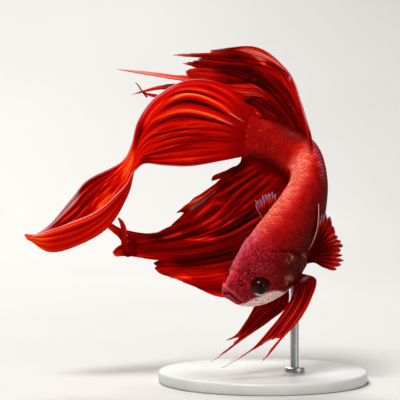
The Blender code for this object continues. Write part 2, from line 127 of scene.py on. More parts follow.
def bodyPoints(shares, angles, proud=0.0):
    # the solids' outer shape: angle 0 is the fish's left, a quarter turn its back
    shares, angles = np.broadcast_arrays(np.asarray(shares, float), np.asarray(angles, float))
    shape = shares.shape
    shares, angles = shares.ravel(), angles.ravel()
    proud = np.broadcast_to(np.asarray(proud, float), shape).ravel()
    rings, which = np.unique(np.round(shares, 7), return_inverse=True)
    points, _, back, left = [part[which] for part in bodyFrames(rings)]
    size = smoothCurve(sectionTable[:, 0], sectionTable[:, 1:], rings)[which]
    closing = np.sqrt(1 - np.clip(1 - shares / fish["snoutRounds"], 0, 1) ** 2)
    thin = ramp(fish["stalkThins"], 1.0, shares)
    tall = np.maximum(np.where(np.sin(angles) > 0, size[:, 0], size[:, 1]) * closing + proud, fish["least"])
    half = np.maximum((size[:, 2] * (1 - thin) + fish["stalkEnd"] * thin) * closing + proud, fish["least"])
    out = points + left * (half * np.cos(angles))[:, None] + back * (tall * np.sin(angles))[:, None]
    return out.reshape(shape + (3,))


def inPlace(points):
    return (np.asarray(points, float) + np.array(fish["place"])) * mm


def clearSelection():
    if bpy.context.object and bpy.context.object.mode != "OBJECT":
        bpy.ops.object.mode_set(mode="OBJECT")
    bpy.ops.object.select_all(action="DESELECT")


def pick(piece):
    clearSelection()
    piece.select_set(True)
    bpy.context.view_layer.objects.active = piece


def readPoints(piece):
    flat = np.empty(len(piece.data.vertices) * 3, np.float32)
    piece.data.vertices.foreach_get("co", flat)
    return flat.reshape(-1, 3).astype(float)


def setPoints(piece, points):
    # points in millimetres in the fish's frame, one for each vertex
    piece.data.vertices.foreach_set("co", inPlace(points).astype(np.float32).ravel())
    piece.data.update()


def mark(piece, name, values):
    layer = piece.data.attributes.new(name, "FLOAT", "POINT")
    layer.data.foreach_set("value", np.asarray(values, np.float32).ravel())


def editMesh(piece, *steps):
    # runs each step, an operator and its settings, on the whole mesh in edit mode
    pick(piece)
    bpy.ops.object.mode_set(mode="EDIT")
    bpy.ops.mesh.select_all(action="SELECT")
    for step, settings in steps:
        step(**settings)
    bpy.ops.object.mode_set(mode="OBJECT")


def applyModifier(piece, kind, **settings):
    pick(piece)
    made = piece.modifiers.new(kind.lower(), kind)
    for key, value in settings.items():
        setattr(made, key, value)
    bpy.ops.object.modifier_apply(modifier=made.name)


def newGrid(name, across, down):
    # a flat sheet to be bent; returns it with each vertex's place on it, 0 to 1 both ways
    clearSelection()
    bpy.ops.mesh.primitive_grid_add(x_subdivisions=across, y_subdivisions=down, size=2)
    piece = bpy.context.object
    piece.name = piece.data.name = name
    across, down = np.clip((readPoints(piece)[:, :2].T + 1) / 2, 0, 1)
    return piece, across, down


def smoothShade(piece, angle=None):
    pick(piece)
    if angle is None:
        bpy.ops.object.shade_smooth()
    else:
        bpy.ops.object.shade_smooth_by_angle(angle=math.radians(angle))


def give(piece, material, slot, *nodes):
    # its material, the body it rides on, the record's slot, which is not used, and the solids that it stands
    # for
    piece.data.materials.clear()
    piece.data.materials.append(material)
    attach(piece, "root")
    if nodes:
        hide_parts(*nodes)


# ---- materials
def hexColor(code):
    # sRGB hex to linear
    parts = [int(code[i:i + 2], 16) / 255 for i in (1, 3, 5)]
    return tuple(c / 12.92 if c <= 0.04045 else ((c + 0.055) / 1.055) ** 2.4 for c in parts) + (1.0,)


def wire(node, links):
    # links: what goes into its inputs, in order or by name, each another node's output or a value
    for key, value in links.items() if isinstance(links, dict) else enumerate(links):
        if isinstance(value, bpy.types.NodeSocket):
            node.id_data.links.new(value, node.inputs[key])
        else:
            node.inputs[key].default_value = value


def addNode(tree, kind, links=(), operation=None, out=0, stops=(), **settings):
    # gives back one of its outputs
    node = tree.nodes.new("ShaderNode" + kind)
    if operation:
        settings["operation"] = operation
    for key, value in settings.items():
        setattr(node, key, value)
    for k, (place, code) in enumerate(stops):
        stop = node.color_ramp.elements[k] if k < 2 else node.color_ramp.elements.new(place)
        stop.position, stop.color = place, hexColor(code)
    wire(node, links)
    return node.outputs[out]


def newMaterial(name, **fixed):
    # gives back the material, what adds a node to it, and its shader
    material = bpy.data.materials.new(name)
    material.use_nodes = True
    shader = material.node_tree.nodes["Principled BSDF"]
    for key, value in fixed.items():
        shader.inputs[key.replace("_", " ")].default_value = value
    return material, partial(addNode, material.node_tree), shader


def paint(add, tone, layers):
    # each layer: what is multiplied for how much of it shows (marks' names, outputs, numbers), its colour
    for parts, color in layers:
        amount, *rest = [add("Attribute", out=2, attribute_name=part) if isinstance(part, str) else part
                         for part in parts]
        for part in rest:
            amount = add("Math", (amount, part), "MULTIPLY")
        color = hexColor(color) if isinstance(color, str) else color
        tone = add("Mix", {0: amount, 6: tone, 7: color}, out=2, data_type="RGBA")
    return tone


# ---- skin: one closed loft from the snout to the tail fin, with the head's folds worked into it
head = {
    "mouthLine": [(-2.95, -0.5), (-2.45, 0.02), (-2.05, 0.38), (-1.62, 0.37), (-1.33, -0.05), (-0.92, -1.07),
                  (-0.4, -2.1), (0.0, -2.94)],
    "lipSwell": 0.33, "slitDepth": 0.34, "chinFold": 0.24, "upperFold": 0.12,
    "lipsEnd": (0.062, 0.085),         # shares of the length over which the lips fade out
    "nostril": (0.85, 0.46, 3.18),     # in the head's frame: to the tail, up the back, to the left
    "nostrilRim": 0.1, "nostrilDepth": 0.26,
    "eyeAlong": 0.1185, "eyeOut": 4.3, "eyeUp": 0.1, "eyeRadius": 1.75,
    "eyeLooks": (-0.11, 0.36, 0.926),   # the way it faces, in the same terms as the nostril
    "lidLow": (-0.45, 0.0, -0.89),      # where the lower lid is pale, in the fish's own frame
    "lidSwell": 0.13, "lidGroove": 0.06, "brow": 0.14, "socket": 0.9,
    # the gill cover's rear edge: degrees round the flank, share of the length
    "gillEdge": [(-90, 0.145), (-75, 0.175), (-60, 0.225), (-45, 0.262), (-30, 0.282), (-14, 0.291),
                 (10, 0.284), (25, 0.268), (38, 0.246), (50, 0.218), (60, 0.196)],
    "gillLift": 0.16, "gillGroove": 0.22, "cheekCrease": 0.07,
}

headAt, headAlong, headBack, headLeft = [part[0] for part in bodyFrames(0.05)]


def headPlaces(points):
    # points in the head's own frame: to the tail, up the back, out to the left
    rel = np.asarray(points, float) - headAt
    return rel @ headAlong, rel @ headBack, rel @ headLeft


def mouthDistance(points):
    # signed distance from the mouth's slit, above it less than 0, and the place along it, 0 in front to 1
    a, b, _ = headPlaces(points)
    line = np.array(head["mouthLine"])
    lengths = np.linalg.norm(np.diff(line, axis=0), axis=1)
    starts = np.concatenate([[0.0], np.cumsum(lengths)])
    best, place = np.full(a.shape, 1e9), np.zeros(a.shape)
    for k, length in enumerate(lengths):
        way = (line[k + 1] - line[k]) / length
        ra, rb = a - line[k, 0], b - line[k, 1]
        t = np.clip(ra * way[0] + rb * way[1], 0 if k else -9, length)
        da, db = ra - t * way[0], rb - t * way[1]
        apart = np.hypot(da, db)
        nearer = apart < np.abs(best)
        side = np.sign(way[1] * da - way[0] * db)
        best = np.where(nearer, apart * -side, best)
        place = np.where(nearer, (starts[k] + t) / starts[-1], place)
    return best, np.clip(place, 0, 1)


def eyePlace(side):
    # the eyeball's centre and the way it looks; side is 1 on the left and -1 on the right
    point, along, back, left = [part[0] for part in bodyFrames(head["eyeAlong"])]
    tail, up, out = head["eyeLooks"]
    looks = unit(along * tail + back * up + left * out * side)
    return point + back * head["eyeUp"] + left * head["eyeOut"] * side, looks


def roundEye(points, side):
    # the way to each point from the eye, the part of it across the eye's axis, how long that part is, and
    # whether the point is in front of the eye
    centre, looks = eyePlace(side)
    rel = points - centre
    height = (rel @ looks)[..., None]
    flat = rel - height * looks
    return rel, flat, np.linalg.norm(flat, axis=-1), height[..., 0] > 0


def flank(angles):
    # degrees from the belly at -90 to the back at 90, the same on both sides
    return np.degrees(np.arcsin(np.clip(np.sin(angles), -1, 1)))


def gillPlace(shares, angles):
    # millimetres behind the gill cover's rear edge
    edge = np.interp(flank(angles), *zip(*head["gillEdge"]))
    return (shares - edge) * bodyLength


def headRelief(shares, angles, points):
    # how far the skin stands out of the plain loft, in millimetres
    out = np.zeros(shares.shape)
    d, t = mouthDistance(points)
    near = fall(*head["lipsEnd"], shares)
    towardsCorner = fall(0.72, 1.0, t)
    swell = head["lipSwell"]
    out += near * towardsCorner * swell * (bump(d, -0.55, 0.36) * 1.1 + bump(d, 0.48, 0.3))
    out -= near * fall(0.9, 1.0, t) * head["slitDepth"] * bump(d, 0.0, 0.13)
    out -= near * fall(0.35, 0.6, t) * 0.22 * bump(d, 0.02, 0.3)
    folds = head["chinFold"] * bump(d, -1.12, 0.17) + head["upperFold"] * bump(d, 0.95, 0.2)
    out -= near * fall(0.8, 1.0, t) * folds
    a, b, left = headPlaces(points)
    for side in (1, -1):
        tail, up, away = head["nostril"]
        far = np.sqrt((a - tail) ** 2 + (b - up) ** 2 + (left - away * side) ** 2)
        out += head["nostrilRim"] * bump(far, 0.42, 0.16) - head["nostrilDepth"] * bump(far, 0.0, 0.22)
        rel, _, wide, same = roundEye(points, side)
        radius = head["eyeRadius"]
        out += same * head["lidSwell"] * bump(wide, radius + 0.2, 0.17)
        out -= same * head["socket"] * fall(radius - 0.22, radius + 0.02, wide)
        out -= same * head["lidGroove"] * bump(wide, radius + 0.62, 0.16)
        out += same * head["brow"] * bump(wide, radius + 0.7, 0.5) * ramp(0.2, 1.2, rel @ headBack)
    behind = gillPlace(shares, angles)
    onFlank = ramp(-88, -60, flank(angles)) * fall(44, 60, flank(angles))
    lift = head["gillLift"]
    out += onFlank * lift * ramp(-3.4, -0.8, behind) * fall(-0.22, 0.02, behind)
    out -= onFlank * head["gillGroove"] * bump(behind, 0.14, 0.16)
    onCheek = ramp(-60, -40, flank(angles)) * fall(25, 40, flank(angles))
    out -= head["cheekCrease"] * bump(behind, -4.1, 0.22) * onCheek
    return out


# worn spots on the cheek, the gill cover and the stalk: share, degrees round the flank, and half their size
paleSpots = [(0.262, 16, 0.008, 7), (0.24, 17, 0.006, 5), (0.216, -11, 0.012, 7), (0.226, -19, 0.006, 5),
             (0.3, -8, 0.008, 8), (0.205, -21, 0.008, 4)]
paleSpots += [(share, degrees, 0.002, 2.4) for share, degrees in (
    (0.989, 26), (0.988, 12), (0.988, -4), (0.985, -22), (0.944, 24), (0.936, -20))]


def bodyMarks(shares, angles, points):
    # the coat's colour fields, each 0 to 1, which the skin and the scales share
    side, turned = flank(angles), np.degrees(angles)
    d, t = mouthDistance(points)
    behind = gillPlace(shares, angles)
    jawTop = np.interp(shares, (0.0, 0.03, 0.05, 0.074, 0.098, 0.13, 0.154, 0.173, 0.195, 0.223, 0.26),
                       (-76, -58, -42, -25, -20, -18, -19, -28, -50, -51, -56))
    # degrees round: the dorsal fin's front edge lies along the back in a narrow groove, painted as a line of
    # shade
    groove = np.interp(shares, (0.65, 0.69, 0.705, 0.724, 0.74), (98, 107, 103, 97, 86))
    lids = np.zeros(shares.shape)
    for eyeSide in (1, -1):
        _, flat, wide, same = roundEye(points, eyeSide)
        low = (flat @ np.array(head["lidLow"])) / np.maximum(wide, 0.1)
        lid = same * bump(wide, head["eyeRadius"] + 0.16, 0.16) * ramp(0.35, 0.85, low)
        lids = np.maximum(lids, lid)
    onLip = fall(0.055, 0.075, shares) * bump(np.abs(d), 0.5, 0.4) * fall(0.7, 0.95, t)
    cream = fall(jawTop - 5, jawTop + 3, side) * fall(-1.2, 0.1, behind) * ramp(0.02, 0.045, shares)
    overBack = ramp(10, 75, side)
    crimson = fall(0.12 + 0.06 * overBack, 0.24 + 0.08 * overBack, shares)
    # degrees round towards the back's side of painted light; behind the dorsal fin the painted light leans
    # over and the colour stays deeper
    lean = np.interp(shares, (0.5, 0.58, 0.66, 0.7, 0.72, 0.74, 0.8, 0.86, 0.92, 1.0),
                     (0, 12, 18, 28, 50, 88, 94, 88, 62, 55))
    most = np.interp(shares, (0.6, 0.64, 0.67, 0.69, 0.71, 0.74, 1.0), (170, 128, 108, 94, 80, 66, 60))
    paintedLightRise = np.minimum(np.minimum(turned - lean, most), (262 - turned) * 1.15)
    # and falls off into painted shade on the far side where the body doubles back
    far = np.interp(shares, (0.46, 0.53, 0.568, 0.614, 0.66, 0.7), (136, 134, 150, 162, 176, 195))
    paintedLightRise -= 60 * ramp(-6, 14, turned - far) * ramp(0.42, 0.48, shares) * fall(0.68, 0.71, shares)
    # painted rim light: pink-lit scales along the near edge of the turn
    paintedPinkRim = np.interp(shares, (0.54, 0.6, 0.644, 0.675, 0.72, 0.745), (38, 54, 72, 88, 89, 80))
    paintedPinkRim = bump(turned, paintedPinkRim, 11) * ramp(0.54, 0.63, shares) * fall(0.735, 0.75, shares)
    pale = [bump(shares, share, longer) * bump(side, degrees, wider)
            for share, degrees, longer, wider in paleSpots]
    return {
        "cream": cream, "crimson": crimson, "pale": strongest(*pale), "lid": lids,
        "lip": onLip * (1 - cream * 0.5),
        # painted shade in the mouth's slit
        "mouth": (fall(0.075, 0.1, shares) * bump(d, 0.02, 0.15) * (1 - 0.5 * ramp(0.4, 0.6, t))
                  * fall(0.93, 1.0, t)),
        # painted light and shade: lit back, shaded flank, a painted highlight band and painted rim light
        "paintedLightRise": np.clip(paintedLightRise / 160, 0, 1),
        "light": ramp(72, 118, paintedLightRise) * ramp(0.16, 0.3, shares),
        "end": ramp(0.95, 0.99, shares),
        "paintedRimLight": np.maximum(ramp(84, 116, turned) * fall(150, 178, turned) * fall(0.2, 0.32, shares), paintedPinkRim),
        "shade": np.maximum(bump(behind, 0.18, 0.3) * ramp(-80, -50, side) * fall(40, 60, side),
                            bump(turned, groove, 4) * ramp(0.65, 0.69, shares) * fall(0.74, 0.755, shares)),
    }


def buildSkin():
    rows = fish["alongHead"] + fish["alongTrunk"]
    skin, around, down = newGrid("fishSkin", fish["around"], rows)
    split = fish["alongHead"] / rows
    # close rows on the head, finest at the snout
    front, behind = fish["headShare"], 1 - fish["headShare"]
    shares = front + behind * (down - split) / (1 - split)
    shares = np.where(down < split, front * (down / split) ** 1.45, shares)
    angles = -math.pi / 2 + around * 2 * math.pi
    plain = bodyPoints(shares, angles, -fish["coatDepth"])
    relief = headRelief(shares, angles, plain)
    setPoints(skin, bodyPoints(shares, angles, relief - fish["coatDepth"]))
    for name, values in bodyMarks(shares, angles, plain).items():
        mark(skin, name, values)
    # close the seam under the belly and both ends
    editMesh(skin, (bpy.ops.mesh.remove_doubles, {"threshold": 0.004 * mm}),
             (bpy.ops.mesh.fill_holes, {"sides": 0}),
             (bpy.ops.mesh.normals_make_consistent, {"inside": False}))
    smoothShade(skin)
    return skin


skin = buildSkin()
print("skin:", len(skin.data.polygons), "faces")

# ---- scales: one lattice round the body, each a thin shingle with a rounded free edge
scales = {
    "pitchTrunk": 0.76,     # from one scale to the next in its row
    "pitchHead": 0.56, "pitchTail": 0.66,
    "perRing": 26,          # scales round the body, every other ring set half a scale over
    "length": 1.45,         # of a scale, in steps to the next in its row
    "rootDepth": -0.17, "tipHeight": 0.05, "wall": 0.05,
    "taper": 0.42,          # how far its corners draw back from its free edge
    "halfWidth": 0.53,      # in its ring, over its share of the ring
    "rootWidth": 0.62,      # over its width further out
    "curl": 0.05,           # how much lower its corners lie than its middle
    "steps": 4, "first": 0.052, "last": 0.985, "headEnds": 0.27, "shadeAngle": 50,
    # left bare: the snout over a line below the slit, a ring round the eye, the gill cover's edge
    "bareSnout": 0.09, "bareLip": -1.35, "bareEye": 0.62, "bareGill": 0.36, "bareGillTop": 55,
}
ringTable = np.linspace(0.0, 1.0, 200)
turnTable = np.linspace(0.0, 1.0, 361)


def arcTable():
    # for each share, the angle at even lengths round the body, from the belly up the left side
    table = []
    for share in ringTable:
        angles = -math.pi / 2 + turnTable * 2 * math.pi
        ring = bodyPoints(np.full(len(angles), share), angles)
        run = np.concatenate([[0.0], np.cumsum(np.linalg.norm(np.diff(ring, axis=0), axis=1))])
        table.append(np.interp(turnTable, run / max(run[-1], 1e-9), angles))
    return np.array(table)


arcAngles = arcTable()


def angleAt(shares, turns):
    whole = np.floor(turns)
    row = np.clip(shares, 0, 1) * (len(ringTable) - 1)
    col = (turns - whole) * (len(turnTable) - 1)
    r, c = np.minimum(row.astype(int), len(ringTable) - 2), np.minimum(col.astype(int), len(turnTable) - 2)
    fr, fc = row - r, col - c
    top = arcAngles[r, c] * (1 - fc) + arcAngles[r, c + 1] * fc
    low = arcAngles[r + 1, c] * (1 - fc) + arcAngles[r + 1, c + 1] * fc
    return top * (1 - fr) + low * fr + whole * 2 * math.pi


def scaleRoots():
    # of every scale: the share where its root lies, its place round the body, and its length as a share
    roots, share, ring = [], scales["first"], 0
    pitches = (scales["pitchHead"], 0.64, scales["pitchTrunk"], scales["pitchTrunk"], scales["pitchTail"])
    while share < scales["last"]:
        pitch = np.interp(share, (0.05, 0.16, 0.3, 0.62, 1.0), pitches)
        step = pitch / 2 / bodyLength
        for k in range(scales["perRing"]):
            roots.append((share, (k + 0.5 * (ring % 2)) / scales["perRing"], 2 * step * scales["length"]))
        share += step
        ring += 1
    return np.array(roots)


def scaledPart(roots):
    # leaves out the lips, the jaw, the eyes and what the gill cover's edge needs bare
    middle = roots[:, 0] + roots[:, 2] * 0.5
    angles = angleAt(middle, roots[:, 1])
    points = bodyPoints(middle, angles)
    d, _ = mouthDistance(points)
    keep = ~((middle < scales["bareSnout"]) & (d > scales["bareLip"]))
    behind = gillPlace(middle, angles)
    jaw = np.interp(middle, (0.05, 0.1, 0.16, 0.26), (10, -4, -12, -40))
    keep &= ~((flank(angles) < jaw) & (behind < -0.3))
    for side in (1, -1):
        _, _, wide, same = roundEye(points, side)
        keep &= ~(same & (wide < head["eyeRadius"] + scales["bareEye"]))
    keep &= ~((np.abs(behind - 0.1) < scales["bareGill"]) & (flank(angles) < scales["bareGillTop"]))
    return keep


def buildScales(name, roots):
    steps = scales["steps"]
    p, q = np.meshgrid(np.linspace(0, 1, steps + 1), np.linspace(-1, 1, steps + 1), indexing="ij")
    p, q = p.ravel(), q.ravel()
    count, size = len(roots), len(p)
    # close to square, with a free edge that rounds off to both sides
    reach = p * (1 - scales["taper"] * q**2 * p)
    narrow = scales["rootWidth"]
    width = scales["halfWidth"] / scales["perRing"] * (narrow + (1 - narrow) * np.minimum(p * 2.5, 1))
    shares = roots[:, :1] + roots[:, 2:] * reach
    turns = roots[:, 1:2] + q * width
    # small scales are thin ones
    small = np.clip(roots[:, 2:] * bodyLength / (scales["pitchTrunk"] * scales["length"]), 0.5, 1)
    low, high = scales["rootDepth"], scales["tipHeight"]
    lift = (low + (high - low) * p**0.8 - scales["curl"] * q**2 * p) * small
    angles = angleAt(shares, turns)
    plain = bodyPoints(shares, angles)
    relief = headRelief(shares, angles, plain)
    top = bodyPoints(shares, angles, relief + lift)
    under = bodyPoints(shares, angles, relief + lift - scales["wall"])
    points = np.concatenate([top, under], axis=1).reshape(-1, 3)
    # faces of one scale: its outer side, its underside and the rim between
    faces = []
    for row in range(steps):
        for col in range(steps):
            a = row * (steps + 1) + col
            faces.append((a, a + steps + 1, a + steps + 2, a + 1))
    rim = list(range(steps + 1))
    rim += [(row + 1) * (steps + 1) + steps for row in range(steps)]
    rim += [steps * (steps + 1) + col for col in range(steps - 1, -1, -1)]
    rim += [row * (steps + 1) for row in range(steps - 1, 0, -1)]
    for here, after in zip(rim, rim[1:] + rim[:1]):
        faces.append((here, after, after + size, here + size))
    faces.append(tuple(corner + size for corner in rim))
    allFaces = [tuple(corner + 2 * size * k for corner in face) for k in range(count) for face in faces]
    mesh = bpy.data.meshes.new(name)
    mesh.from_pydata(inPlace(points).tolist(), [], allFaces)
    piece = bpy.data.objects.new(name, mesh)
    bpy.context.scene.collection.objects.link(piece)
    parts = (shares, angles, plain, relief * 0 + p, relief * 0 + q)
    shares, angles, plain, run, across = [np.concatenate([part, part], axis=1) for part in parts]
    for key, values in {**bodyMarks(shares, angles, plain), "run": run, "across": across}.items():
        mark(piece, key, values)
    scatter = np.random.default_rng(7).random(count)
    mark(piece, "own", np.repeat(scatter, 2 * size))
    # for the bake: each scale is one small patch at its root's place on the skin's unwrap
    patch = 0.003
    alongU = 0.02 + 0.96 * roots[:, :1] + patch * (np.concatenate([p, p]) - 0.5)[None]
    alongV = 0.02 + 0.96 * (roots[:, 1:2] % 1) + patch / 2 * np.concatenate([q, q])[None]
    uv = np.stack([alongU, alongV], axis=-1).reshape(-1, 2)
    layer = mesh.uv_layers.new(name="OFBake")
    corners = np.empty(len(mesh.loops), np.int32)
    mesh.loops.foreach_get("vertex_index", corners)
    layer.data.foreach_set("uv", uv[corners].astype(np.float32).ravel())
    editMesh(piece, (bpy.ops.mesh.normals_make_consistent, {"inside": False}))
    smoothShade(piece, scales["shadeAngle"])
    return piece


allRoots = scaleRoots()
allRoots = allRoots[scaledPart(allRoots)]
onHead = allRoots[:, 0] < scales["headEnds"]
headScales = buildScales("headScales", allRoots[onHead])
trunkScales = buildScales("trunkScales", allRoots[~onHead])
print("scales:", len(allRoots))

# ---- eyes: a ball that swells a little over the pupil
eye = {
    "radius": 1.72, "swell": 0.05,
    "pupil": 20.0, "iris": 56.0,                      # degrees from where it looks
    "low": (0.12, 0.0, -0.99),                        # towards the lower rim, where the painted bluish-white reflection shows
    "redFrom": {1: (0.86, 0.98), -1: (0.68, 0.84)},   # where each ball's red side begins, in quarter turns
}


def buildEye(name, side):
    centre, looks = eyePlace(side)
    low = np.array(eye["low"])
    low = unit(low - looks * (low @ looks))
    sideways = np.cross(looks, low)
    clearSelection()
    bpy.ops.mesh.primitive_uv_sphere_add(segments=72, ring_count=54, radius=1)
    piece = bpy.context.object
    piece.name = piece.data.name = name
    ball = unit(readPoints(piece))
    tilt = np.degrees(np.arccos(np.clip(ball[:, 2], -1, 1)))
    size = eye["radius"] * (1 + eye["swell"] * bump(tilt, 0, 34))
    turned = ball[:, :1] * low + ball[:, 1:2] * sideways + ball[:, 2:] * looks
    setPoints(piece, centre + size[:, None] * turned)
    mark(piece, "tilt", tilt / 90)
    mark(piece, "redSide", ramp(*eye["redFrom"][side], tilt / 90))
    mark(piece, "under", ball[:, 0] / np.maximum(np.hypot(ball[:, 0], ball[:, 1]), 1e-6))
    mark(piece, "round", np.arctan2(ball[:, 1], ball[:, 0]) / math.pi)
    smoothShade(piece)
    return piece


eyes = {1: buildEye("eyeballLeft", 1), -1: buildEye("eyeballRight", -1)}
print("eyes set")


# ---- fins: sheets over guide rays, pleated along the rays, then given their thickness
def edgeFoot(first, last, angle):
    def foot(u):
        return bodyPoints(first + (last - first) * u, angle, -0.45)
    return foot


def flankFoot(share, start, end):
    def foot(u):
        return bodyPoints(share, math.radians(start + (end - start) * u), -0.5)
    return foot


def tailFoot(u):
    # inside the end of the tail stalk
    point, along, back, _ = [part[0] for part in bodyFrames(1.0)]
    return point + back * (3.7 - 7.3 * u) - along * (2.4 - 0.7 * math.sin(math.pi * u))


def notched(table, teeth=0, depth=0.0, seed=3, whole=()):
    # how much of each ray is kept: places and shares, notches between the small rays' tips, rays kept whole
    scatter = np.random.default_rng(seed).random(teeth + 2)

    def ends(u):
        kept = np.interp(u, *zip(*table))
        if teeth:
            place = u * teeth
            which = np.floor(place).astype(int)
            apart = np.abs(2 * (place - which) - 1)             # 0 at a tip, 1 between two
            cut = depth * (0.35 + 0.65 * scatter[np.minimum(which, teeth)]) * apart**1.6
            cut = cut + depth * 0.5 * scatter[np.minimum(which, teeth) + 1]
            for ray in whole:
                cut = cut * ramp(0.012, 0.04, np.abs(u - ray))
            kept = kept * (1 - cut)
        return kept
    return ends


def uneven(u, v, seed, alongU=6.0, alongV=1.5):
    # a soft random field from 0 to 1
    chance = np.random.default_rng(seed)
    total = 0 * u * v
    for _ in range(6):
        a, b, c = [chance.uniform(*part) for part in ((-alongU, alongU), (-alongV, alongV), (0, 2 * math.pi))]
        total = total + np.sin(2 * math.pi * (a * u + b * v) + c)
    return np.clip(0.5 + total / 5.2, 0, 1)


def brushed(strokes, u, v):
    # each stroke along the rays, in thousandths: half width in u, strength, then u and v from the root on;
    # painted light where the strength is above 0, painted shade where it is below
    light, dark = 0 * u * v, 0 * u * v
    for stroke in strokes:
        wide, strong, *line = np.array(stroke) / 1000
        atU, atV = line[::2], line[1::2]
        soft = 0.18 * (atV[-1] - atV[0])
        body = ramp(atV[0] - soft, atV[0] + soft, v) * fall(atV[-1] - soft, atV[-1] + soft, v)
        body = strong * body * bump(u, np.interp(v, atV, atU), wide)
        light, dark = np.maximum(light, body), np.minimum(dark, body)
    return light + dark


# what a fin has unless it says otherwise
plainFin = {
    "side": -1, "thickness": 0.16,          # the side its pleats rise to, and millimetres through
    "inner": 0.7, "ends": np.ones_like,     # where along its guide lines v is 0.7, and where they end
    "foot": None, "rootRuns": (0.0, 0.1),   # where it leaves the body, and how far the body's red runs on
    "steepest": (0.15, 0.1, 0.08),          # the most that each wave of pleats rises, over its width
    "weight": (1.0, 0.45, 0.3),             # how much each wave tells in the folds' painted light and shade
}


def finGrid(look, u, v):
    # the middle sheet as a grid of points, and each point's height on the pleats, 1 on a ridge
    rays, foot = look["rays"], look["foot"]
    across = smoothCurve(np.linspace(0, 1, len(rays)), rays, u)
    ends = look["ends"](u)
    inner = np.minimum(look["inner"], 0.95 * ends)
    grid = []
    for column, here, low, end in zip(across, u, inner, ends):
        ray = np.vstack([foot(here), column]) if foot else column
        reach = np.interp(v, (0.0, 0.7, 1.0), (0.0, low, end))
        grid.append(smoothCurve(np.linspace(0, 1, len(ray)), ray, reach))
    grid = np.array(grid)
    stepU, stepV = np.gradient(grid, axis=0), np.gradient(grid, axis=1)
    facing = unit(np.cross(stepU, stepV))
    wide = np.linalg.norm(stepU, axis=-1) / np.gradient(u)[:, None]      # the fin's width at each point
    # the ridges' places in u, at one or more heights v, give the pleats' phase
    heights, tables = zip(*look["ridges"])
    phases = np.array([np.interp(u, table, np.arange(len(table))) for table in tables])
    phase = np.array([np.interp(v, heights, column) for column in phases.T])
    patchy = uneven(u[:, None], v[None], look["seed"])
    waves, lift = 0 * phase, 0 * phase
    for k, (times, size, offset) in enumerate(look["pleats"]):
        strength = 0.35 + 0.85 * (patchy if k else patchy[::-1])
        wave = np.cos(2 * math.pi * (times * phase + offset)) * strength
        local = wide / (len(tables[0]) - 1) / times                      # the width of one pleat
        lift += np.minimum(size, look["steepest"][k] * local) * wave
        waves += look["weight"][k] * wave
    billow = uneven(u[:, None], v[None], look["seed"] + 1, 1.2, 1.6) - 0.5
    low = look["billow"] * billow * ramp(0.1, 0.5, v)[None]
    grid = grid + facing * (look["side"] * (lift * ramp(0.02, 0.22, v)[None] + low))[..., None]
    return grid, waves


def buildFin(name, look):
    look = {**plainFin, **look}
    piece, across, down = newGrid(name, look["columns"], look["rows"])
    u, atU = np.unique(np.round(across, 5), return_inverse=True)
    v, atV = np.unique(np.round(down, 5), return_inverse=True)
    grid, waves = finGrid(look, u, v)
    points = grid[atU, atV]
    setPoints(piece, points)
    applyModifier(piece, "SOLIDIFY", thickness=look["thickness"] * mm, offset=0.0)
    # which of the two faces each vertex is on, so that a ridge on one is a valley on the other
    facing = unit(np.cross(np.gradient(grid, axis=0), np.gradient(grid, axis=1)))[atU, atV]
    out = readPoints(piece)[:len(points)] / mm - np.array(fish["place"]) - points
    face = np.where((out * facing).sum(-1) > 0, 1.0, -1.0)
    # the fold mark paints light on the ridges and shade in the valleys
    fold = waves[atU, atV] * ramp(0.02, 0.13, down) * look["side"] * face
    mark(piece, "fold", np.concatenate([fold, -fold]))
    fields = {"tip": ramp(look["tipFrom"], 1.0, v)[None] + 0 * u[:, None],
              "root": fall(*look["rootRuns"], v)[None] + 0 * u[:, None]}
    fields.update(look["fields"](u[:, None], v[None]))
    for key, values in fields.items():
        values = (values + 0 * waves)[atU, atV]
        mark(piece, key, np.concatenate([values, values]))
    smoothShade(piece)
    return piece


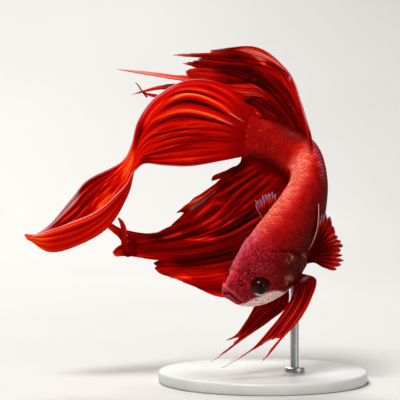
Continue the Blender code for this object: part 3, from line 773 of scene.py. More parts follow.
# the tail fin: its rays arch over, draw together at a waist and open into a long trough
tailStrokes = [
    # over the fan: ridges that catch the light
    (18, 400, 325, 50, 290, 100, 268, 160, 270, 250),
    (18, 360, 458, 70, 452, 140, 445, 200, 410, 270, 370, 320),
    (16, 200, 550, 100, 605, 180, 590, 260, 510, 330, 430, 410),
    (12, 140, 610, 90, 660, 180, 655, 250, 610, 320, 540, 390),
    (12, 140, 670, 80, 705, 160, 710, 250, 700, 340, 650, 410),
    (14, 120, 740, 100, 775, 190, 800, 280, 830, 360), (12, 240, 200, 140, 197, 200, 180, 230),
    (50, 160, 220, 270, 200, 360), (30, 220, 930, 180, 900, 300), (20, 180, 860, 140, 870, 260),
    # and painted shade in the valleys between
    (22, -340, 375, 70, 345, 130, 330, 200, 320, 270),
    (14, -300, 490, 70, 505, 140, 495, 200, 460, 280, 420, 310),
    (13, -340, 580, 50, 625, 140, 630, 220, 600, 280, 530, 350),
    (12, -320, 655, 50, 685, 120, 690, 210, 670, 300),
    (13, -360, 720, 60, 742, 140, 780, 240, 820, 340, 840, 400), (7, -220, 755, 200, 740, 320),
    (18, -240, 245, 110, 225, 180, 210, 250), (30, -160, 200, 40, 120, 160),
    (110, -340, 200, 380, 200, 470), (100, -160, 900, 360, 920, 420),
    # the trough: painted light where it opens, painted shade along its far wall, with fine rays of painted
    # light
    (200, 340, 160, 500, 180, 600), (20, 300, 0, 570, 100, 600, 200, 640, 280, 690),
    (20, 280, 50, 530, 250, 600, 330, 660), (120, -200, 90, 640, 120, 720, 140, 900),
    (6, 550, 60, 580, 110, 650, 125, 700, 120, 760), (5, 450, 130, 630, 200, 700, 220, 760),
    (5, 400, 200, 660, 250, 720), (6, 360, 80, 700, 70, 800, 80, 860), (20, 300, 155, 760, 140, 840),
    (30, 450, 272, 650, 285, 700), (40, -220, 115, 720, 125, 840), (30, -200, 190, 700, 200, 800),
    # the near wall: streaks of painted light and painted shade
    (30, 100, 970, 520, 980, 950), (18, -140, 900, 560, 910, 860), (22, -160, 760, 580, 760, 840),
    (30, 120, 400, 720, 440, 860), (12, -140, 360, 760, 340, 860), (20, -100, 610, 560, 600, 840),
]


def tailFields(u, v):
    wide = 0.01 + 0.045 * ramp(0.8, 0.92, v)
    # pale rims along its edges and tip, partly the fin's own pale margin and partly painted rim light,
    # with two short painted highlights on the lit ridges near the root
    rim = strongest(
        fall(0.004, 0.018, u) * ramp(0.12, 0.3, v) * 0.9,
        brushed([(14, 750, 50, 240, 50, 370), (6, 450, 310, 35, 325, 70), (6, 450, 456, 60, 458, 100),
                 (45, 1000, 20, 760, 40, 900)], u, v),
        fall(0.0, 0.01, 1 - u) * 0.7 * ramp(0.12, 0.3, v),
        fall(0.16, 0.3, u) * ramp(0.87, 0.93, v),
        fall(0.35, 1.0, u / wide) * ramp(0.5, 0.62, v))
    # painted light over the trough's near wall
    nearWall = 0.1 * ramp(0.6, 0.74, v) * ramp(0.24, 0.42, u)
    nearWall = nearWall + 0.2 * ramp(0.86, 0.96, v) * ramp(0.3, 0.45, u)
    lit = brushed(tailStrokes, u, v)
    return {"pale": rim, "lit": np.where(lit < 0, lit * 1.25, lit * 0.9) + nearWall,
            "tip": ramp(0.95, 1.0, v) * fall(0.25, 0.4, u)}


tailFin = {
    "rays": [
        [(5.5, 6.5, 22.3), (-2, 7, 23.6), (-8.6, 7, 20.3), (-12.2, 6.5, 15.6), (-13.6, 6, 10.6),
         (-15.7, 5.5, 7.3), (-21.8, 3.5, 4), (-24.8, 2, 0.4), (-28.9, 0.5, -4.6), (-31.7, -0.5, -6.5)],
        [(4.3, 5, 20), (-2.7, 5, 21.6), (-8.4, 5, 18.4), (-11.6, 5, 13.3), (-13.1, 4.2, 8.8),
         (-15.2, 3.5, 4.9), (-20.8, 2.5, 0.2), (-24.8, 1.5, -3.7), (-29.2, 0, -6.5), (-32.4, -1, -6.6)],
        [(3.5, 4, 16.8), (-3.1, 3.5, 18.1), (-8.4, 3.5, 15.6), (-11.7, 3.2, 11.3), (-13, 2.5, 7.2),
         (-14.7, 2, 2.3), (-18.8, 1.5, -3.3), (-23.1, 0.5, -6.7), (-28.8, -0.5, -8.8),
         (-33.5, -1.5, -6.6)],
        [(3.3, 4, 13.7), (-3.1, 3.5, 14.4), (-8, 3, 12.4), (-11.2, 2, 9.5), (-12.7, 1, 6.2),
         (-14, 0.5, 1.2), (-17.5, 0, -4.8), (-22.6, -1, -8.2), (-28.6, -2, -9.9), (-33.4, -2, -7)],
        [(3.5, 4.5, 10.2), (-2.3, 4, 10.2), (-7.4, 3, 9.5), (-11, 1, 8.2), (-12.5, -1.5, 5.9),
         (-13.8, -3, 1.9), (-17.5, -3.5, -3.4), (-22.7, -4, -7), (-28.4, -4, -8.5), (-32.5, -3, -7.4)],
        [(4.1, 5.5, 7.7), (-2, 5, 6.7), (-7.2, 3.5, 6.8), (-10.8, 1, 7), (-12.7, -3, 5.1),
         (-14.1, -5, 2.5), (-19, -6, -2.1), (-24.5, -5.5, -4.4), (-29.1, -4.5, -6), (-31.5, -3.5, -6.8)],
    ],
    "foot": tailFoot, "rootRuns": (0.035, 0.1), "columns": 270, "rows": 170, "seed": 11, "billow": 0.5,
    "ridges": [(0.08, (0, 0.1, 0.2, 0.32, 0.455, 0.54, 0.6, 0.67, 0.735, 0.82, 0.91, 1)),
               (0.2, (0, 0.1, 0.19, 0.268, 0.445, 0.61, 0.66, 0.705, 0.77, 0.85, 0.93, 1)),
               (0.32, (0, 0.08, 0.16, 0.23, 0.37, 0.52, 0.6, 0.7, 0.79, 0.87, 0.94, 1)),
               (0.45, (0, 0.07, 0.13, 0.2, 0.3, 0.42, 0.51, 0.62, 0.73, 0.83, 0.92, 1)),
               (0.6, (0, 0.08, 0.16, 0.23, 0.32, 0.42, 0.54, 0.66, 0.76, 0.86, 0.93, 1))],
    "pleats": [(1, 0.42, 0), (2, 0.12, 0.2), (5, 0.05, 0.4)], "tipFrom": 0.95, "fields": tailFields,
    "finish": "tailFinMembrane",
    "standsFor": ("caudal_fin_upper_fan", "caudal_fin_upper_blade", "caudal_fin_lower_fan",
                  "caudal_fin_lower_blade"),
}


# the dorsal fin: swept up and back, with rays that run on as streamers
dorsalStrokes = [
    # painted light on the front band and its turned-over shoulder, with one streak of painted shade
    (90, 200, 80, 50, 100, 660), (40, 220, 200, 340, 200, 500, 235, 600, 260, 680),
    (8, 200, 270, 500, 300, 640), (60, 500, 30, 690, 50, 800, 40, 930),
    (18, 550, 210, 720, 160, 760, 100, 830, 50, 930), (30, -200, 270, 760, 200, 830, 140, 900),
    (8, 240, 130, 300, 140, 600),
    # painted shade over the deep middle, with streaks of painted light
    (130, -160, 380, 50, 380, 800), (170, -200, 650, 20, 700, 360), (8, 220, 280, 320, 360, 380, 440, 440),
    (20, 320, 480, 540, 380, 590), (50, 160, 440, 600, 440, 720), (20, 220, 700, 110, 780, 200),
    (30, 240, 860, 80, 950, 150), (30, 260, 550, 360, 600, 420), (80, 500, 610, 430, 660, 520, 620, 640),
    # painted light on the torn ends
    (50, 300, 500, 740, 500, 1000), (20, 320, 230, 760, 270, 860), (30, 340, 330, 840, 340, 1000),
    (30, 280, 400, 880, 400, 1000), (35, 500, 600, 740, 600, 1000), (30, 460, 800, 780, 800, 1000),
    (30, 260, 160, 860, 160, 1000), (90, 240, 300, 780, 300, 1000), (100, 160, 470, 700, 470, 1000),
]


def dorsalFields(u, v):
    rim = strongest(
        fall(0.002, 0.016, u) * ramp(0.24, 0.42, v) * fall(0.72, 0.84, v),
        brushed([(12, 800, 100, 600, 40, 650), (20, 500, 20, 660, 20, 740), (20, 350, 120, 780, 70, 840)],
                u, v),
        ramp(0.93, 1.0, v) * (bump(u, 0.2, 0.02) + bump(u, 0.6, 0.015) + bump(u, 0.57, 0.012)))
    return {"pale": rim, "lit": brushed(dorsalStrokes, u, v)}


dorsalFin = {
    "rays": [
        [(21, -1, 12.7), (19.7, 3.5, 18.5), (17.1, 6.5, 25.4), (11.1, 9, 30.4), (1.8, 10, 30)],
        [(20, 2, 14.9), (18.1, 6.5, 21.1), (14.2, 9.5, 26.5), (5.2, 12, 28.6), (-5.4, 12, 29.2)],
        [(17.8, 4.5, 16.4), (13.8, 9.5, 22.3), (7.6, 12, 25.8), (1.4, 13, 26.9), (-3.4, 12.5, 27.4)],
        [(15, 6.5, 17.7), (10, 11.5, 22.1), (3.2, 14, 23.9), (-6.1, 14, 25), (-16.7, 12, 26.3)],
        [(12.3, 8, 18.2), (7.1, 13, 20.8), (0.6, 15, 22.4), (-7.1, 15, 23), (-13.9, 13, 21.3)],
        [(9.2, 9, 17.9), (4.4, 13, 18.8), (-1.2, 15, 18.9), (-6.1, 15.5, 19.2), (-10.2, 15, 19.1)],
    ],
    "foot": edgeFoot(0.63, 0.985, math.pi / 2), "columns": 250, "rows": 120, "seed": 23,
    "ends": notched([(0, 1), (0.1, 0.93), (0.2, 1), (0.27, 0.9), (0.33, 0.98), (0.4, 1), (0.46, 0.8),
                     (0.555, 0.66), (0.568, 0.74), (0.584, 0.9), (0.6, 1), (0.616, 0.9), (0.634, 0.76),
                     (0.655, 0.68), (0.7, 0.72), (0.755, 0.76), (0.778, 0.82), (0.8, 1), (0.82, 0.84),
                     (0.845, 0.78), (0.92, 0.85), (1, 0.9)], 24, 0.07, whole=(0.2, 0.4, 0.6, 0.8)),
    "ridges": [(0.2, (0, 0.06, 0.13, 0.2, 0.3, 0.4, 0.5, 0.6, 0.7, 0.8, 0.9, 1))],
    "pleats": [(1, 0.24, 0), (3, 0.08, 0.3), (5, 0.04, 0.1)], "billow": 1.1, "inner": 0.596,
    "tipFrom": 0.95, "fields": dorsalFields, "finish": "dorsalFinMembrane", "standsFor": ("dorsal_fin",),
}


# the anal fin: it trails behind the body and draws out to a ragged corner
analStrokes = [
    # painted light on the ridges
    (28, 260, 235, 60, 240, 200, 220, 400, 170, 500),
    (26, 300, 300, 60, 340, 200, 390, 310, 470, 420, 480, 500), (16, 340, 460, 390, 475, 500),
    (16, 260, 360, 70, 450, 170, 510, 250, 530, 350),
    (14, 260, 420, 50, 500, 120, 550, 200, 580, 300, 610, 400), (6, 400, 688, 180, 692, 350, 680, 440),
    (22, 400, 680, 440, 640, 530, 600, 600), (22, 160, 200, 60, 120, 200, 80, 350),
    (20, 260, 400, 330, 300, 430, 250, 500), (60, 360, 260, 470, 300, 580),
    (16, 440, 85, 500, 90, 700, 90, 1000), (35, 360, 440, 620, 450, 730), (30, 240, 530, 380, 560, 460),
    (20, 240, 170, 700, 190, 840),
    # painted shade in the valleys
    (32, -280, 290, 70, 290, 200, 300, 340), (18, -260, 360, 100, 410, 200, 450, 300),
    (12, -260, 410, 80, 480, 150, 520, 220, 550, 320), (28, -240, 630, 200, 660, 300, 640, 450),
    (70, -180, 770, 160, 800, 720), (50, -220, 540, 500, 550, 760), (30, -220, 370, 600, 370, 860),
    (30, -160, 80, 120, 60, 440), (12, -200, 600, 80, 620, 160),
    # painted light on the ragged lower corner and the bottom edge
    (20, 440, 890, 740, 920, 1000), (15, 260, 990, 500, 990, 980), (30, 240, 900, 500, 880, 740),
    (50, 300, 500, 800, 540, 1000), (50, 360, 700, 860, 720, 1000), (20, 260, 390, 800, 400, 1000),
]


def analFields(u, v):
    rim = strongest(
        brushed([(12, 800, 130, 480, 148, 600), (22, 950, 150, 580, 145, 720, 140, 820)], u, v),
        fall(0.0, 0.008, 1 - u) * ramp(0.6, 0.9, v) * 0.6,
        bump(u, 0.78, 0.03) * ramp(0.97, 1.0, v) * 0.6)
    return {"pale": rim, "lit": brushed(analStrokes, u, v)}


analFin = {
    "rays": [
        [(7.9, 7.5, 7.3), (6.5, 8, 6.5), (5.2, 8.5, 5.8), (3.8, 9, 5.2), (2.6, 9.5, 4.6)],
        [(7.9, 8, 5.4), (4.4, 9, 2.8), (1.2, 10, 0.6), (-2, 10.5, -1.4), (-4.8, 10.5, -2.6)],
        [(8.5, 8.5, 3.8), (4.4, 9.5, 0.8), (0, 10.5, -2), (-4.4, 11, -4.6), (-8, 11, -6.8)],
        [(9, 9, 2.2), (3.4, 10.5, -1.6), (-3, 11, -5.2), (-10, 10.5, -7.2), (-18.5, 8.5, -5.1)],
        [(9.6, 9, 0.2), (3.4, 10.5, -3.8), (-3, 11.5, -6.8), (-10.4, 10.5, -8.2), (-16.3, 9, -7.2)],
        [(10.6, 9.5, -2.4), (4.4, 11, -6), (-2.8, 11.5, -8.4), (-10.4, 10, -9.4), (-16.1, 9.5, -9.4)],
        [(12.1, 9, -5.6), (5.2, 11, -9), (-2.4, 11, -10.6), (-10, 10, -10.6), (-17.4, 10, -11)],
        [(14.5, 8.5, -9.9), (7.6, 10.5, -13.2), (1, 11, -14.6), (-4.4, 10.5, -14.8), (-8.4, 10, -14.4)],
        [(17.2, 7, -14.2), (11.5, 8, -17.8), (7.6, 9, -19.3), (4.4, 9.5, -19.3), (0, 10, -17.8)],
    ],
    "foot": edgeFoot(0.985, 0.46, -math.pi / 2), "columns": 290, "rows": 130, "seed": 37,
    "ends": notched([(0, 1), (0.018, 0.9), (0.036, 0.55), (0.055, 0.62), (0.078, 0.92), (0.125, 1),
                     (0.134, 0.9), (0.15, 0.84), (0.175, 0.88), (0.195, 1), (0.25, 1), (0.31, 0.8),
                     (0.35, 0.84), (0.375, 1), (0.43, 0.9), (0.5, 1), (0.56, 0.95), (0.625, 1), (0.75, 1),
                     (0.8, 0.83), (0.875, 1), (1, 1)], 30, 0.035, whole=(0.125, 0.375, 0.625, 0.875)),
    "ridges": [(0.08, (0, 0.08, 0.16, 0.235, 0.305, 0.365, 0.425, 0.5, 0.6, 0.69, 0.78, 0.86, 0.93, 1)),
               (0.22, (0, 0.06, 0.12, 0.24, 0.34, 0.48, 0.555, 0.6, 0.65, 0.69, 0.78, 0.86, 0.93, 1)),
               (0.42, (0, 0.05, 0.09, 0.2, 0.32, 0.475, 0.545, 0.6, 0.64, 0.68, 0.77, 0.86, 0.93, 1))],
    "pleats": [(1, 0.26, 0), (3, 0.08, 0.35), (5, 0.04, 0.1)], "billow": 0.9, "inner": 0.698,
    "tipFrom": 0.97, "fields": analFields, "finish": "analFinMembrane", "standsFor": ("anal_fin",),
}


# the breast and belly fins
def breastFields(u, v):
    # painted light towards the tips, painted shade near the root behind the leading edge
    lit = 0.22 * ramp(0.6, 0.9, v) - 0.22 * fall(0.5, 0.85, v) * ramp(0.05, 0.12, u)
    return {"pale": fall(0.01, 0.04, u) * ramp(0.1, 0.3, v), "lit": lit}


def bellyFields(longRay, u, v):
    # the longest ray ends in a white thread
    # a thin painted highlight across the rays near the root
    pale = bump(u, 0.3, 0.25) * bump(v, 0.105, 0.018) * 0.7
    tip = ramp(0.86, 0.93, v) * fall(0.26, 0.34, np.abs(u - longRay))
    # painted light along both edges, down the middle and towards the tips; painted shade in two streaks and
    # over the root
    lit = brushed([(50, 220, 20, 220, 50, 900), (50, 140, 980, 200, 970, 900), (60, -220, 300, 200, 300, 800),
                   (60, -220, 700, 200, 700, 800), (400, -250, 500, 20, 500, 120),
                   (50, 120, 500, 300, 500, 800)], u, v)
    return {"pale": np.clip(pale, 0, 1), "tip": tip, "lit": lit + 0.2 * ramp(0.8, 0.95, v)}


breastFin = {"side": 1, "thickness": 0.12, "fields": breastFields, "finish": "breastFinMembrane"}
breastLeft = {
    **breastFin,
    "rays": [
        [(20.6, -9.5, -8.5), (21.5, -10, -5.9), (21.9, -9.5, -3.3), (21.9, -9, -0.7)],
        [(21, -9, -8.5), (22.3, -9, -6.3), (23.3, -8, -3.9), (23.8, -7, -1.5)],
        [(21.4, -8.5, -9.1), (22.9, -8, -8), (24.7, -7, -6.9), (26, -6, -6.4)],
        [(21.6, -8, -9.9), (23.5, -7.5, -9.2), (25.5, -6.5, -8.8), (27.1, -5.5, -8.8)],
        [(21.6, -8, -10.8), (23.5, -7.5, -11), (25.5, -6.5, -11.2), (27.3, -5.5, -11.3)],
        [(21.2, -8.5, -11.7), (22.7, -8, -12.5), (24.5, -7.5, -13.2), (26, -7, -13.5)],
    ],
    "foot": flankFoot(0.3, -8, -40), "columns": 190, "rows": 80, "seed": 41,
    "ends": notched([(0, 1), (0.035, 0.97), (0.06, 0.84), (0.3, 1), (1, 1)], 13, 0.22, 5, (0,)),
    "ridges": [(0.5, np.linspace(0, 1, 14))], "pleats": [(1, 0.16, 0), (2, 0.05, 0.3), (4, 0.03, 0.1)],
    "billow": 0.3, "inner": 0.59, "tipFrom": 0.94, "standsFor": ("pectoral_fin_left",),
}
breastRight = {
    **breastFin,
    "rays": [
        [(11.9, -1.5, -3.6), (11.4, 0.5, -2.5), (10.8, 1.5, -1.5), (10.2, 2.5, -0.6)],
        [(12.2, -1.8, -3.4), (11.7, 0.3, -2.1), (11.2, 1.2, -0.8), (10.8, 2, 0.6)],
        [(12.6, -2, -3.2), (12.3, 0, -1.7), (12.2, 0.8, -0.2), (12, 1.5, 1.4)],
        [(13.2, -2.2, -3.1), (13.2, -0.3, -1.3), (13.3, 0.4, 0.4), (13.5, 1, 1.8)],
        [(13.7, -2.4, -2.9), (14, -0.6, -1.3), (14.5, 0, 0.2), (15.1, 0.5, 1.6)],
    ],
    "foot": flankFoot(0.3, 188, 220), "columns": 120, "rows": 70, "seed": 43,
    "ends": notched([(0, 1), (1, 1)], 9, 0.34, 8), "ridges": [(0.5, np.linspace(0, 1, 10))],
    "pleats": [(1, 0.14, 0), (2, 0.05, 0.3), (4, 0.03, 0.1)], "billow": 0.2, "inner": 0.53, "tipFrom": 0.9,
    "standsFor": ("pectoral_fin_right",),
}
bellyFin = {
    "side": 1, "columns": 130, "rows": 150, "thickness": 0.18, "billow": 0.4, "tipFrom": 0.93,
    "pleats": [(1, 0.2, 0), (2, 0.07, 0.3), (4, 0.04, 0.1)], "finish": "bellyFinMembrane",
}
bellyLeft = {
    **bellyFin,
    "rays": [
        [(21.7, -7, -14.8), (20.5, -10, -18.3), (18.2, -12, -22), (15, -13.5, -25.2), (11.4, -15, -29.1)],
        [(19.6, -7.5, -16.4), (17.8, -10, -20.5), (15.6, -12, -23.1), (14.1, -13, -24.8),
         (12.9, -13.5, -25.9)],
        [(17.4, -7.5, -17.6), (15.3, -10.5, -20.7), (12.6, -12.5, -23.8), (9.1, -14.5, -27.3),
         (4, -16, -30.3)],
    ],
    "foot": flankFoot(0.27, -50, -78), "seed": 47, "standsFor": ("pelvic_fin_left",),
    "ends": notched([(0, 1), (0.14, 1), (0.2, 0.92), (0.28, 0.84), (0.5, 0.9), (0.68, 0.84), (0.76, 0.88),
                     (0.82, 1), (1, 1)], 8, 0.05, 4, (0, 1)),
    "ridges": [(0.5, (0, 0.14, 0.3, 0.52, 0.66, 0.84, 1))], "fields": partial(bellyFields, 1.0),
}
bellyRight = {
    **bellyFin,
    "rays": [
        [(16.6, -5, -19.4), (13.1, -7, -22.6), (9.1, -9, -25.1), (5.5, -10.5, -27.3), (1.9, -12, -29.7)],
        [(14, -5, -19.2), (11.2, -6.5, -22.1), (8.8, -8, -24.4), (7.4, -9, -25.5), (6.7, -9.5, -26.1)],
        [(10.9, -5, -19), (9.4, -6.5, -21.4), (7.8, -8, -23.7), (6.5, -9, -25.2), (4.9, -9.5, -26)],
    ],
    "foot": flankFoot(0.27, -100, -120), "seed": 53, "standsFor": ("pelvic_fin_right",),
    "ends": notched([(0, 1), (0.2, 1), (0.28, 0.9), (0.36, 0.86), (0.6, 0.9), (0.78, 0.88), (0.9, 0.94),
                     (1, 1)], 8, 0.05, 6, (0, 1)),
    "ridges": [(0.5, (0, 0.16, 0.34, 0.5, 0.7, 0.86, 1))], "fields": partial(bellyFields, 0.0),
}


# torn ends and turned-over folds, each between two or three guide lines from its root to its tip
def strandFields(u, v):
    edge = fall(0.0, 0.16, 0.5 - np.abs(u - 0.5))
    # painted shade near the root and painted light along one side towards the end
    lit = 0.22 - 0.24 * fall(0.0, 0.35, v) + 0.28 * ramp(0.5, 1.0, u) * ramp(0.3, 0.8, v)
    return {"pale": 0.3 * edge * ramp(0.5, 0.9, v), "lit": lit}


strandLines = {
    "analHook": [
        [(-15.1, 8.2, -10.9), (-15.6, 8.2, -8.9), (-15.7, 8.2, -7.2), (-15.7, 8.4, -5.6),
         (-16, 8.3, -4.4), (-16.3, 8, -3.6)],
        [(-14.4, 7.9, -11.3), (-14.9, 7.7, -9.3), (-15.1, 7.8, -7.5), (-15.1, 8, -5.8), (-15.5, 8, -4.4),
         (-16.2, 7.9, -3.5)],
        [(-13.7, 8.2, -11.2), (-14.2, 8.2, -9.7), (-14.5, 8.2, -7.9), (-14.5, 8.4, -6), (-15, 8.3, -4.6),
         (-16, 8, -3.5)],
    ],
    "analRibbon": [
        [(-14.7, 8.7, -7.5), (-15.7, 8.6, -5.8), (-16.8, 8.4, -5.1), (-17.9, 8.1, -4.4),
         (-18.9, 8, -3.9)],
        [(-14.7, 8.7, -9.9), (-16, 8.4, -7.6), (-17.3, 8.2, -6.4), (-18.1, 8.1, -5.7), (-19, 8, -5.1)],
    ],
    "analToe": [
        [(-12.6, 9, -7.8), (-14.5, 8.7, -8.4), (-15.7, 8.6, -8.9), (-16.5, 8.6, -9.4), (-17.1, 8.6, -10)],
        [(-12.6, 8.8, -9.7), (-14.5, 8.4, -9.9), (-15.7, 8.3, -10.1), (-16.6, 8.3, -10.3),
         (-17.25, 8.4, -10.5)],
        [(-12.6, 9, -11.1), (-14.5, 8.7, -11.1), (-15.7, 8.6, -11.1), (-16.5, 8.6, -11.2),
         (-17, 8.6, -11)],
    ],
    "dorsalSpike": [
        [(-10.5, 12, 20.7), (-11.5, 12.3, 21.9), (-12.3, 12.3, 23), (-13, 12.3, 23.7)],
        [(-10.8, 12.1, 20.6), (-11.7, 12.4, 21.8), (-12.4, 12.4, 22.9), (-13.05, 12.3, 23.7)],
    ],
    "dorsalStrand": [
        [(-11.5, 12, 21.8), (-10.1, 11.8, 21.4), (-8.4, 11.8, 21.2)],
        [(-11.5, 12.1, 21.7), (-10.5, 11.8, 21), (-8.6, 11.8, 20.5)],
    ],
    "dorsalLobe": [
        [(6.4, 12.6, 25.8), (3, 12.6, 26.3), (0, 12.5, 26.6), (-2, 12.5, 26.4), (-2.9, 12.5, 25.9)],
        [(6.4, 12.5, 24.6), (3, 12.4, 24.9), (0, 12.3, 25.1), (-1.6, 12.3, 25.2), (-2.6, 12.4, 25.1)],
        [(6.4, 12.6, 23), (3, 12.6, 23.2), (0.6, 12.5, 23.4), (-0.6, 12.5, 23.8), (-1.4, 12.5, 24.2)],
    ],
    "dorsalFold": [
        [(3.8, 11.6, 23.4), (6, 10.2, 23.2), (8.6, 9.6, 23.1), (10.4, 9.4, 23), (12, 10, 22.2),
         (15.4, 11.6, 19.6)],
        [(4, 11.4, 23.1), (6.1, 9.6, 22.5), (8.2, 9, 22.1), (9.9, 9, 22), (11.7, 9.5, 21.6),
         (15.3, 11.4, 19.5)],
        [(4.2, 11.4, 22.9), (6.2, 9.8, 21.9), (7.6, 9.2, 20.9), (9.3, 9, 20.8), (11.4, 9.6, 20.7),
         (15.2, 11.6, 19.3)],
    ],
}


plainStrand = {
    "columns": 22, "rows": 70, "seed": 61, "billow": 0.1, "tipFrom": 0.9, "fields": strandFields,
    "ridges": [(0.5, (0, 0.5, 1))], "pleats": [(1, 0.1, 0), (2, 0.05, 0.3)],
}
fins = {"tailFin": tailFin, "dorsalFin": dorsalFin, "analFin": analFin, "breastFinLeft": breastLeft,
        "breastFinRight": breastRight, "bellyFinLeft": bellyLeft, "bellyFinRight": bellyRight}
finPieces = {name: buildFin(name, look) for name, look in fins.items()}
strands = {name: buildFin(name, {**plainStrand, "rays": lines}) for name, lines in strandLines.items()}
print("fins built")

# ---- stand: a turned disc with a rounded edge, and a rod in a raised boss
stand = {"radius": 20.0, "height": 2.2, "edge": 0.5, "rodAt": (6.0, -2.0), "rodRadius": 0.8, "rodTop": 26.8,
         "bossRadius": 1.9, "bossHeight": 0.8, "shadeAngle": 32}


def buildTurned(name, at, rings, sides):
    # pulled up from a low cylinder, ring by ring: radius and height of each from the bottom, in millimetres
    clearSelection()
    radius, low = rings[0]
    height = rings[1][1]
    bpy.ops.mesh.primitive_cylinder_add(
        vertices=sides, radius=radius * mm, depth=(height - low) * mm, end_fill_type="NGON",
        location=(at[0] * mm, at[1] * mm, (low + height) / 2 * mm))
    piece = bpy.context.object
    piece.name = piece.data.name = name
    bpy.ops.object.transform_apply(location=True, rotation=True, scale=True)
    bpy.ops.object.mode_set(mode="EDIT")
    bpy.ops.mesh.select_mode(type="FACE")
    bpy.ops.mesh.select_all(action="DESELECT")
    bpy.ops.object.mode_set(mode="OBJECT")
    for face in piece.data.polygons:
        face.select = face.normal.z > 0.9
    bpy.ops.object.mode_set(mode="EDIT")
    for ring, (wider, higher) in enumerate(rings[1:]):
        if ring:
            bpy.ops.mesh.extrude_region_move(TRANSFORM_OT_translate={"value": (0, 0, (higher - height) * mm)})
        bpy.ops.transform.resize(value=(wider / radius, wider / radius, 1),
                                 center_override=(at[0] * mm, at[1] * mm, higher * mm))
        radius, height = wider, higher
    bpy.ops.object.mode_set(mode="OBJECT")
    smoothShade(piece, stand["shadeAngle"])
    return piece


edge, wide, tall = stand["edge"], stand["radius"], stand["height"]
standBase = buildTurned("standBase", (0, 0), [
    (wide - edge, 0.0), (wide - 0.3 * edge, 0.3 * edge), (wide, edge), (wide, tall - edge),
    (wide - 0.13 * edge, tall - 0.5 * edge), (wide - 0.5 * edge, tall - 0.13 * edge), (wide - edge, tall),
    (wide * 0.6, tall)], 144)
thin, boss, bossTop = stand["rodRadius"], stand["bossRadius"], stand["height"] + stand["bossHeight"]
standRod = buildTurned("standRod", stand["rodAt"], [
    (boss, tall + 0.02), (boss, bossTop - 0.25), (boss - 0.08, bossTop - 0.08), (boss - 0.25, bossTop),
    (thin + 0.15, bossTop), (thin + 0.03, bossTop + 0.05), (thin, bossTop + 0.2),
    (thin, stand["rodTop"] - 0.1), (thin - 0.1, stand["rodTop"])], 48)
print("stand built")


# ---- finishes
soft = {"interpolation_type": "SMOOTHSTEP"}
skinLook = {
    # painted shade, deep on the flank, up to painted light, salmon, over the back; the head's own run of
    # painted light and shade; its mottle; the white jaw and cheek
    "trunk": [(0.0, "#480101"), (0.12, "#680202"), (0.27, "#7c0202"), (0.39, "#9a0402"), (0.51, "#c4180c"),
              (0.64, "#da4032"), (0.85, "#e86050")],
    "front": [(0.1, "#980605"), (0.25, "#6c0304"), (0.37, "#92060d"), (0.5, "#bc1624"), (0.63, "#ee4a5c"),
              (0.78, "#f26c7c")],
    "mottle": [(0.34, "#868686"), (0.5, "#c8c8c8"), (0.66, "#ffffff")],
    "cream": [(0.3, "#c85a4c"), (0.42, "#e8c4b8"), (0.58, "#f8eee6")],
    # millimetres and detail of the blotches, the patches of pigment cells, the single spots and the glints;
    # the last two are drawn coarse
    "grain": [(3.2, 2.0), (0.75, 3.0), (0.38, 2.0), (0.26, 1.0)],
}


